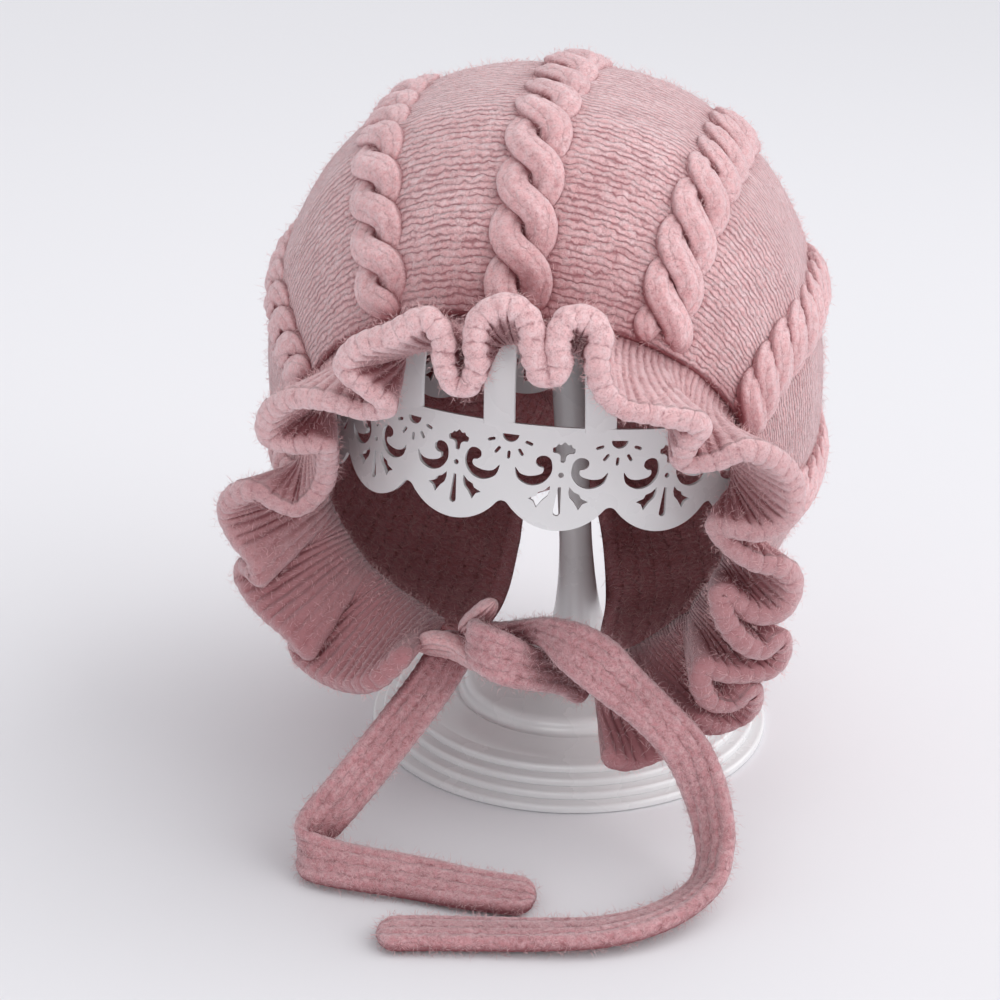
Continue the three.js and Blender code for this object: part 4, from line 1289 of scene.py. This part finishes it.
def band_mesh(stand):
    """The scalloped band: one pierced lobe copied round the ring, then given its thickness."""
    flat = flat_lobe()
    flat.verts.ensure_lookup_table()
    sheet = np.array([v.co[:2] for v in flat.verts])
    tris = np.array([[v.index for v in f.verts] for f in flat.faces])
    facing = np.sign(sum(f.normal.z for f in flat.faces))
    flat.free()
    points, faces = [], []
    for k in range(LOBES):
        a = FIRST_CUSP + (k + 0.5) * LOBE_ANGLE + sheet[:, 0] / BAND_RADIUS
        points.append(np.stack([BAND_RADIUS * np.sin(a), -BAND_RADIUS * np.cos(a), sheet[:, 1]], axis=1))
        faces.append(tris[:, ::-1] + k * len(sheet) if facing < 0 else tris + k * len(sheet))
    piece = new_piece("stand_metal", np.concatenate(points), [np.concatenate(faces)])
    select_only(piece)
    bpy.ops.object.mode_set(mode="EDIT")
    bpy.ops.mesh.select_all(action="SELECT")
    bpy.ops.mesh.remove_doubles(threshold=2e-6)
    bpy.ops.object.mode_set(mode="OBJECT")
    wall = piece.modifiers.new("wall", "SOLIDIFY")
    wall.thickness = stand.sheet
    wall.offset = -1
    bpy.ops.object.modifier_apply(modifier=wall.name)
    piece.data.transform(BAND_PLACE)
    return piece


def rib_mesh(number):
    """One rib of the cage: a flat strip from the band's top edge, bending in to the hub."""
    angle = FIRST_RIB + number * TAU / RIBS
    radius = BAND_RADIUS - 0.5 * MM
    foot = Vector((radius * math.sin(angle), -radius * math.cos(angle), BAND_HEIGHT - 1 * MM))
    foot = BAND_PLACE @ foot
    hub = Vector((HUB_X, 0, HUB_TOP - HUB_HEIGHT / 2))
    out = Vector((foot.x - hub.x, foot.y - hub.y, 0))
    across = np.array(Vector((out.y, -out.x, 0)).normalized())
    level = np.array(out.normalized())
    steps, sides = 28, 12
    t = np.linspace(0, math.pi / 2, steps + 1)[:, None]
    line = np.array((hub.x, hub.y, foot.z)) + np.array(out) * np.cos(t)
    line[:, 2] += (hub.z - foot.z) * np.sin(t[:, 0])
    face = unit(level * np.cos(t) + np.array((0, 0, 1)) * np.sin(t))
    width = np.interp(t / (math.pi / 2), (0, 0.5, 1), (8.7 * MM, 8.7 * MM, 4.4 * MM))
    a = np.linspace(0, TAU, sides + 1)
    c, s = powered(np.cos(a), 0.35), powered(np.sin(a), 0.8)
    out = (0.6 * MM * s)[None, :, None] * face[:, None]
    tube = line[:, None] + (width / 2 * c)[..., None] * across + out
    quads, caps, weld = tube_faces(steps + 1, sides)
    return new_piece(f"rib_{number}", with_ends(tube, line), [quads, caps], None, weld)


def turned_piece(name, profile, steps, middle=(0, 0)):
    """A closed solid of revolution about the vertical, from its radii and heights in metres."""
    mesh = bpy.data.meshes.new(name)
    corners = [(middle[0] + r, middle[1], z) for r, z in profile]
    mesh.from_pydata(corners, [(k, k + 1) for k in range(len(corners) - 1)], [])
    piece = bpy.data.objects.new(name, mesh)
    bpy.context.scene.collection.objects.link(piece)
    select_only(piece)
    bpy.ops.object.mode_set(mode="EDIT")
    bpy.ops.mesh.select_all(action="SELECT")
    bpy.ops.mesh.spin(
        steps=steps, angle=TAU, center=(*middle, 0), axis=(0, 0, 1), use_auto_merge=True
    )
    bpy.ops.mesh.select_all(action="SELECT")
    bpy.ops.mesh.remove_doubles(threshold=5e-6)
    bpy.ops.mesh.normals_make_consistent(inside=False)
    bpy.ops.object.mode_set(mode="OBJECT")
    return piece


def base_profile():
    """The foot's stepped rim, dished top and raised boss, as radius and height in metres."""
    profile = [(0, 0), (61.2, 0)]
    for k in range(4):
        r, z = 62 - 3.4 * k, 2.5 * k
        profile += arc(r - 0.35, z + 0.4, 0.35, -60, 0, 3)
        profile += arc(r - 1.1, z + 1.35, 1.1, 0, 90, 6)
        profile += [(r - 2.6, z + 2.45)]
    profile += arc(47.5, 8.9, 1.1, 80, 100, 4)
    profile += [(44, 9.6), (41, 9.9), (38.5, 10.4)] + arc(36.2, 9.9, 0.9, 60, 120, 4)
    profile += arc(35.2, 12.4, 2.2, 262, 180, 5) + arc(30.2, 12.2, 2.9, 20, 88, 6)
    profile += [(26, 15.6), (20, 16.1), (15, 16.8), (12.5, 17), (0, 17)]
    return [(r * MM, z * MM) for r, z in profile]


def bend_post(piece):
    """Bends the post sideways towards its top."""
    foot, top = POST_BOX[0].z, POST_BOX[1].z
    mesh = piece.data
    place = np.empty(3 * len(mesh.vertices))
    mesh.vertices.foreach_get("co", place)
    place = place.reshape(-1, 3)
    along = np.clip((place[:, 2] - foot) / (top - foot), 0, 1)
    place[:, 0] += 3 * MM - 10 * MM * along**1.35
    mesh.vertices.foreach_set("co", place.ravel())
    mesh.update()


# ---------------------------------------------------------------------------
# Operators
# ---------------------------------------------------------------------------


class HOOD_OT_stage(bpy.types.Operator):
    """Adds the camera, the floor and the lights"""

    bl_idname = "hood.stage"
    bl_label = "Stage"

    def execute(self, context):
        stage = context.scene.stage_settings
        target = Vector(stage.target)
        bpy.ops.object.camera_add(
            location=target + stage.distance * Vector((0, -math.cos(stage.pitch), math.sin(stage.pitch))),
            rotation=(math.pi / 2 - stage.pitch, 0, 0),
        )
        camera = context.object
        camera.data.lens = stage.lens
        camera.data.sensor_width = 36
        context.scene.camera = camera

        bpy.ops.mesh.primitive_plane_add(size=6, location=(0, 0, -0.0002))
        floor = context.object
        floor.name = "floor"
        paint(floor, floor_material(stage.floor_colour))

        for name, kind, place, size, power in (
            ("key_light", "SUN", (1.0, -0.12, 0.62), rad(76), 2.0),
            ("fill_light", "AREA", (-0.30, -1.06, 0.24), 0.6, 2.0),
            ("top_light", "AREA", (0.30, 0.20, 1.10), 0.9, 2.5),
        ):
            bpy.ops.object.light_add(type=kind, location=place)
            light = context.object
            light.name = name
            light.data.energy = power
            if kind == "SUN":
                light.data.angle = size
            else:
                light.data.size = size
            aim = Vector((0, 0, 0.1)) - Vector(place)
            light.rotation_euler = aim.to_track_quat("-Z", "Y").to_euler()
        world = bpy.data.worlds.new("studio")
        world.use_nodes = True
        world.node_tree.nodes["Background"].inputs["Color"].default_value = (0.93, 0.935, 0.96, 1)
        world.node_tree.nodes["Background"].inputs["Strength"].default_value = stage.world
        context.scene.world = world
        context.scene.view_settings.view_transform = "Standard"
        return {"FINISHED"}


class HOOD_OT_ties(bpy.types.Operator):
    """Adds the two ties"""

    bl_idname = "hood.ties"
    bl_label = "Ties"

    def execute(self, context):
        knit = context.scene.knit_settings
        wool = knit_wool("tie_wool", knit.tie_colour, 0.4 * MM, heather=0.4)
        for name, node, route in (
            ("left_tie_knit", "left_tie", LEFT_TIE_ROUTE),
            ("right_tie_knit", "right_tie", RIGHT_TIE_ROUTE),
        ):
            piece, line, length = tie_mesh(name, route)
            finish_piece(piece, "tie_knit", node, materials=[wool])
        return {"FINISHED"}


class HOOD_OT_hood(bpy.types.Operator):
    """Adds the hood's cloth and the cables on it"""

    bl_idname = "hood.hood"
    bl_label = "Hood and Cables"

    def execute(self, context):
        knit = context.scene.knit_settings
        ground = tuple(0.93 * part for part in knit.hood_colour)
        purl = knit_wool("purl_wool", ground, 0.7 * MM, purl=True, gap=0.9)
        plain = knit_wool("plain_wool", knit.hood_colour, 0.5 * MM, gap=0.35)
        # Painted shade: the lining is the same wool in a darker, deeper colour, with less sheen.
        inside = {"heather": 0.35, "reach": 0.012, "sheen": 0.1}
        lining = knit_wool("shaded_inside_wool", knit.inside_shaded_colour, 0.6 * MM, **inside)
        cloth, inner = hood_mesh(knit)
        finish_piece(cloth, "hood_knit", "hood_shell", materials=[purl, lining])
        cloth.data.polygons.foreach_set("material_index", inner)
        sewn_on = [cable_mesh(knit, number, degrees) for number, degrees in enumerate(CABLE_TURNS)]
        for name, route in zip(("corner_hem", "corner_curl"), CORNER_ROUTES):
            sewn_on.append(tie_mesh(name, route)[0])
        for piece in sewn_on:
            finish_piece(piece, "hood_knit", materials=[plain])
        return {"FINISHED"}


class HOOD_OT_frill(bpy.types.Operator):
    """Adds the gathered frill"""

    bl_idname = "hood.frill"
    bl_label = "Frill"

    def execute(self, context):
        knit = context.scene.knit_settings
        # Painted light and shade: a paler colour for the frill's lit top, darkened low down and in its
        # folds.
        wool = knit_wool("frill_wool", knit.frill_lit_colour, 0.3 * MM, gap=0.85, reach=0.06, under=0.84)
        piece = frill_mesh(knit)
        finish_piece(piece, "frill_knit", "face_frill", materials=[wool])
        return {"FINISHED"}


class HOOD_OT_fuzz(bpy.types.Operator):
    """Adds the loose fibres that stand off the wool"""

    bl_idname = "hood.fuzz"
    bl_label = "Fuzz"

    def execute(self, context):
        knit = context.scene.knit_settings
        ties, hood = knit.tie_colour, knit.hood_colour
        cables = [f"cable_{k + 1}" for k in range(len(CABLE_TURNS))]
        plan = (
            ("tie_fuzz", ["left_tie_knit", "right_tie_knit"], 11000, ties, "tie_knit"),
            ("hood_fuzz", ["hood_cloth"], 29000, hood, "hood_knit"),
            ("cable_fuzz", cables, 13000, hood, "hood_knit"),
            ("frill_fuzz", ["frill_cloth"], 21000, hood, "frill_knit"),
        )
        for seed, (name, wearers, count, colour, slot) in enumerate(plan):
            wearers = [bpy.data.objects[wearer] for wearer in wearers]
            piece = fuzz_piece(name, wearers, count, knit.fuzz_length, 20 + seed)
            finish_piece(piece, slot, materials=[fuzz_material(name, colour)])
        return {"FINISHED"}


class HOOD_OT_stand(bpy.types.Operator):
    """Adds the stand: its foot, its post and its cage of cut-work and ribs"""

    bl_idname = "hood.stand"
    bl_label = "Stand"

    def execute(self, context):
        stand = context.scene.stand_settings
        white = paint_material(stand.paint_colour)
        band = band_mesh(stand)
        rim = arc(11.2, 0.8, 0.8, -90, 0, 4) + arc(11.0, 2.5, 1.0, 0, 90, 5)
        profile = [(0, HUB_TOP - HUB_HEIGHT), (11.4 * MM, HUB_TOP - HUB_HEIGHT)]
        profile += [(r * MM, HUB_TOP - HUB_HEIGHT + z * MM) for r, z in rim] + [(0, HUB_TOP)]
        hub = turned_piece("stand_hub", profile, 48, (HUB_X, 0))
        ribs = [rib_mesh(k) for k in range(RIBS)]
        select_only(band)
        for piece in (hub, *ribs):
            piece.select_set(True)
        bpy.ops.object.join()
        select_only(band)
        bpy.ops.object.shade_smooth_by_angle(angle=rad(35))
        finish_piece(band, "white_paint", "stand_cage", materials=[white], smooth=False)

        foot, top = POST_BOX[0].z, POST_BOX[1].z
        flare = [(12.4, foot / MM), (11, 22), (8.9, 30), (6.9, 39), (5.6, 50), (5, 62)]
        heights = np.linspace(foot, 62 * MM, 26)
        radius = monotone([z * MM for _, z in flare], [r * MM for r, _ in flare])
        profile = [(0, foot)] + [(float(radius(z)), float(z)) for z in heights]
        profile += [(5 * MM, float(z)) for z in np.linspace(62 * MM, top, 20)[1:]] + [(0, top)]
        post = turned_piece("stand_pole", profile, 48)
        bend_post(post)
        base = turned_piece("stand_foot", base_profile(), 144)
        for piece, node in ((post, "stand_post"), (base, "stand_base")):
            select_only(piece)
            bpy.ops.object.shade_smooth_by_angle(angle=rad(35))
            finish_piece(piece, "white_paint", node, materials=[white], smooth=False)
        return {"FINISHED"}


# ---------------------------------------------------------------------------
# Panel and registration
# ---------------------------------------------------------------------------

STEPS = (
    ("hood.stage", "WORLD"),
    ("hood.ties", "CURVE_PATH"),
    ("hood.stand", "MESH_CYLINDER"),
    ("hood.hood", "MOD_CLOTH"),
    ("hood.frill", "MOD_WAVE"),
    ("hood.fuzz", "PARTICLES"),
)


class HOOD_PT_panel(bpy.types.Panel):
    """Lists the steps that build the hood and its stand"""

    bl_label = "Knitted Hood"
    bl_idname = "HOOD_PT_panel"
    bl_space_type = "VIEW_3D"
    bl_region_type = "UI"
    bl_category = "Knitted Hood"

    def draw(self, context):
        for step, icon in STEPS:
            self.layout.operator(step, icon=icon)


CLASSES = (
    KnitSettings,
    StandSettings,
    StageSettings,
    HOOD_OT_stage,
    HOOD_OT_ties,
    HOOD_OT_stand,
    HOOD_OT_hood,
    HOOD_OT_frill,
    HOOD_OT_fuzz,
    HOOD_PT_panel,
)


def register():
    for cls in CLASSES:
        bpy.utils.register_class(cls)
    bpy.types.Scene.knit_settings = PointerProperty(type=KnitSettings)
    bpy.types.Scene.stand_settings = PointerProperty(type=StandSettings)
    bpy.types.Scene.stage_settings = PointerProperty(type=StageSettings)


def unregister():
    del bpy.types.Scene.stage_settings
    del bpy.types.Scene.stand_settings
    del bpy.types.Scene.knit_settings
    for cls in reversed(CLASSES):
        bpy.utils.unregister_class(cls)


def main():
    register()
    bpy.ops.hood.stage()
    bpy.ops.hood.ties()
    bpy.ops.hood.stand()
    bpy.ops.hood.hood()
    bpy.ops.hood.frill()
    bpy.ops.hood.fuzz()


if __name__ == "__main__":
    main()
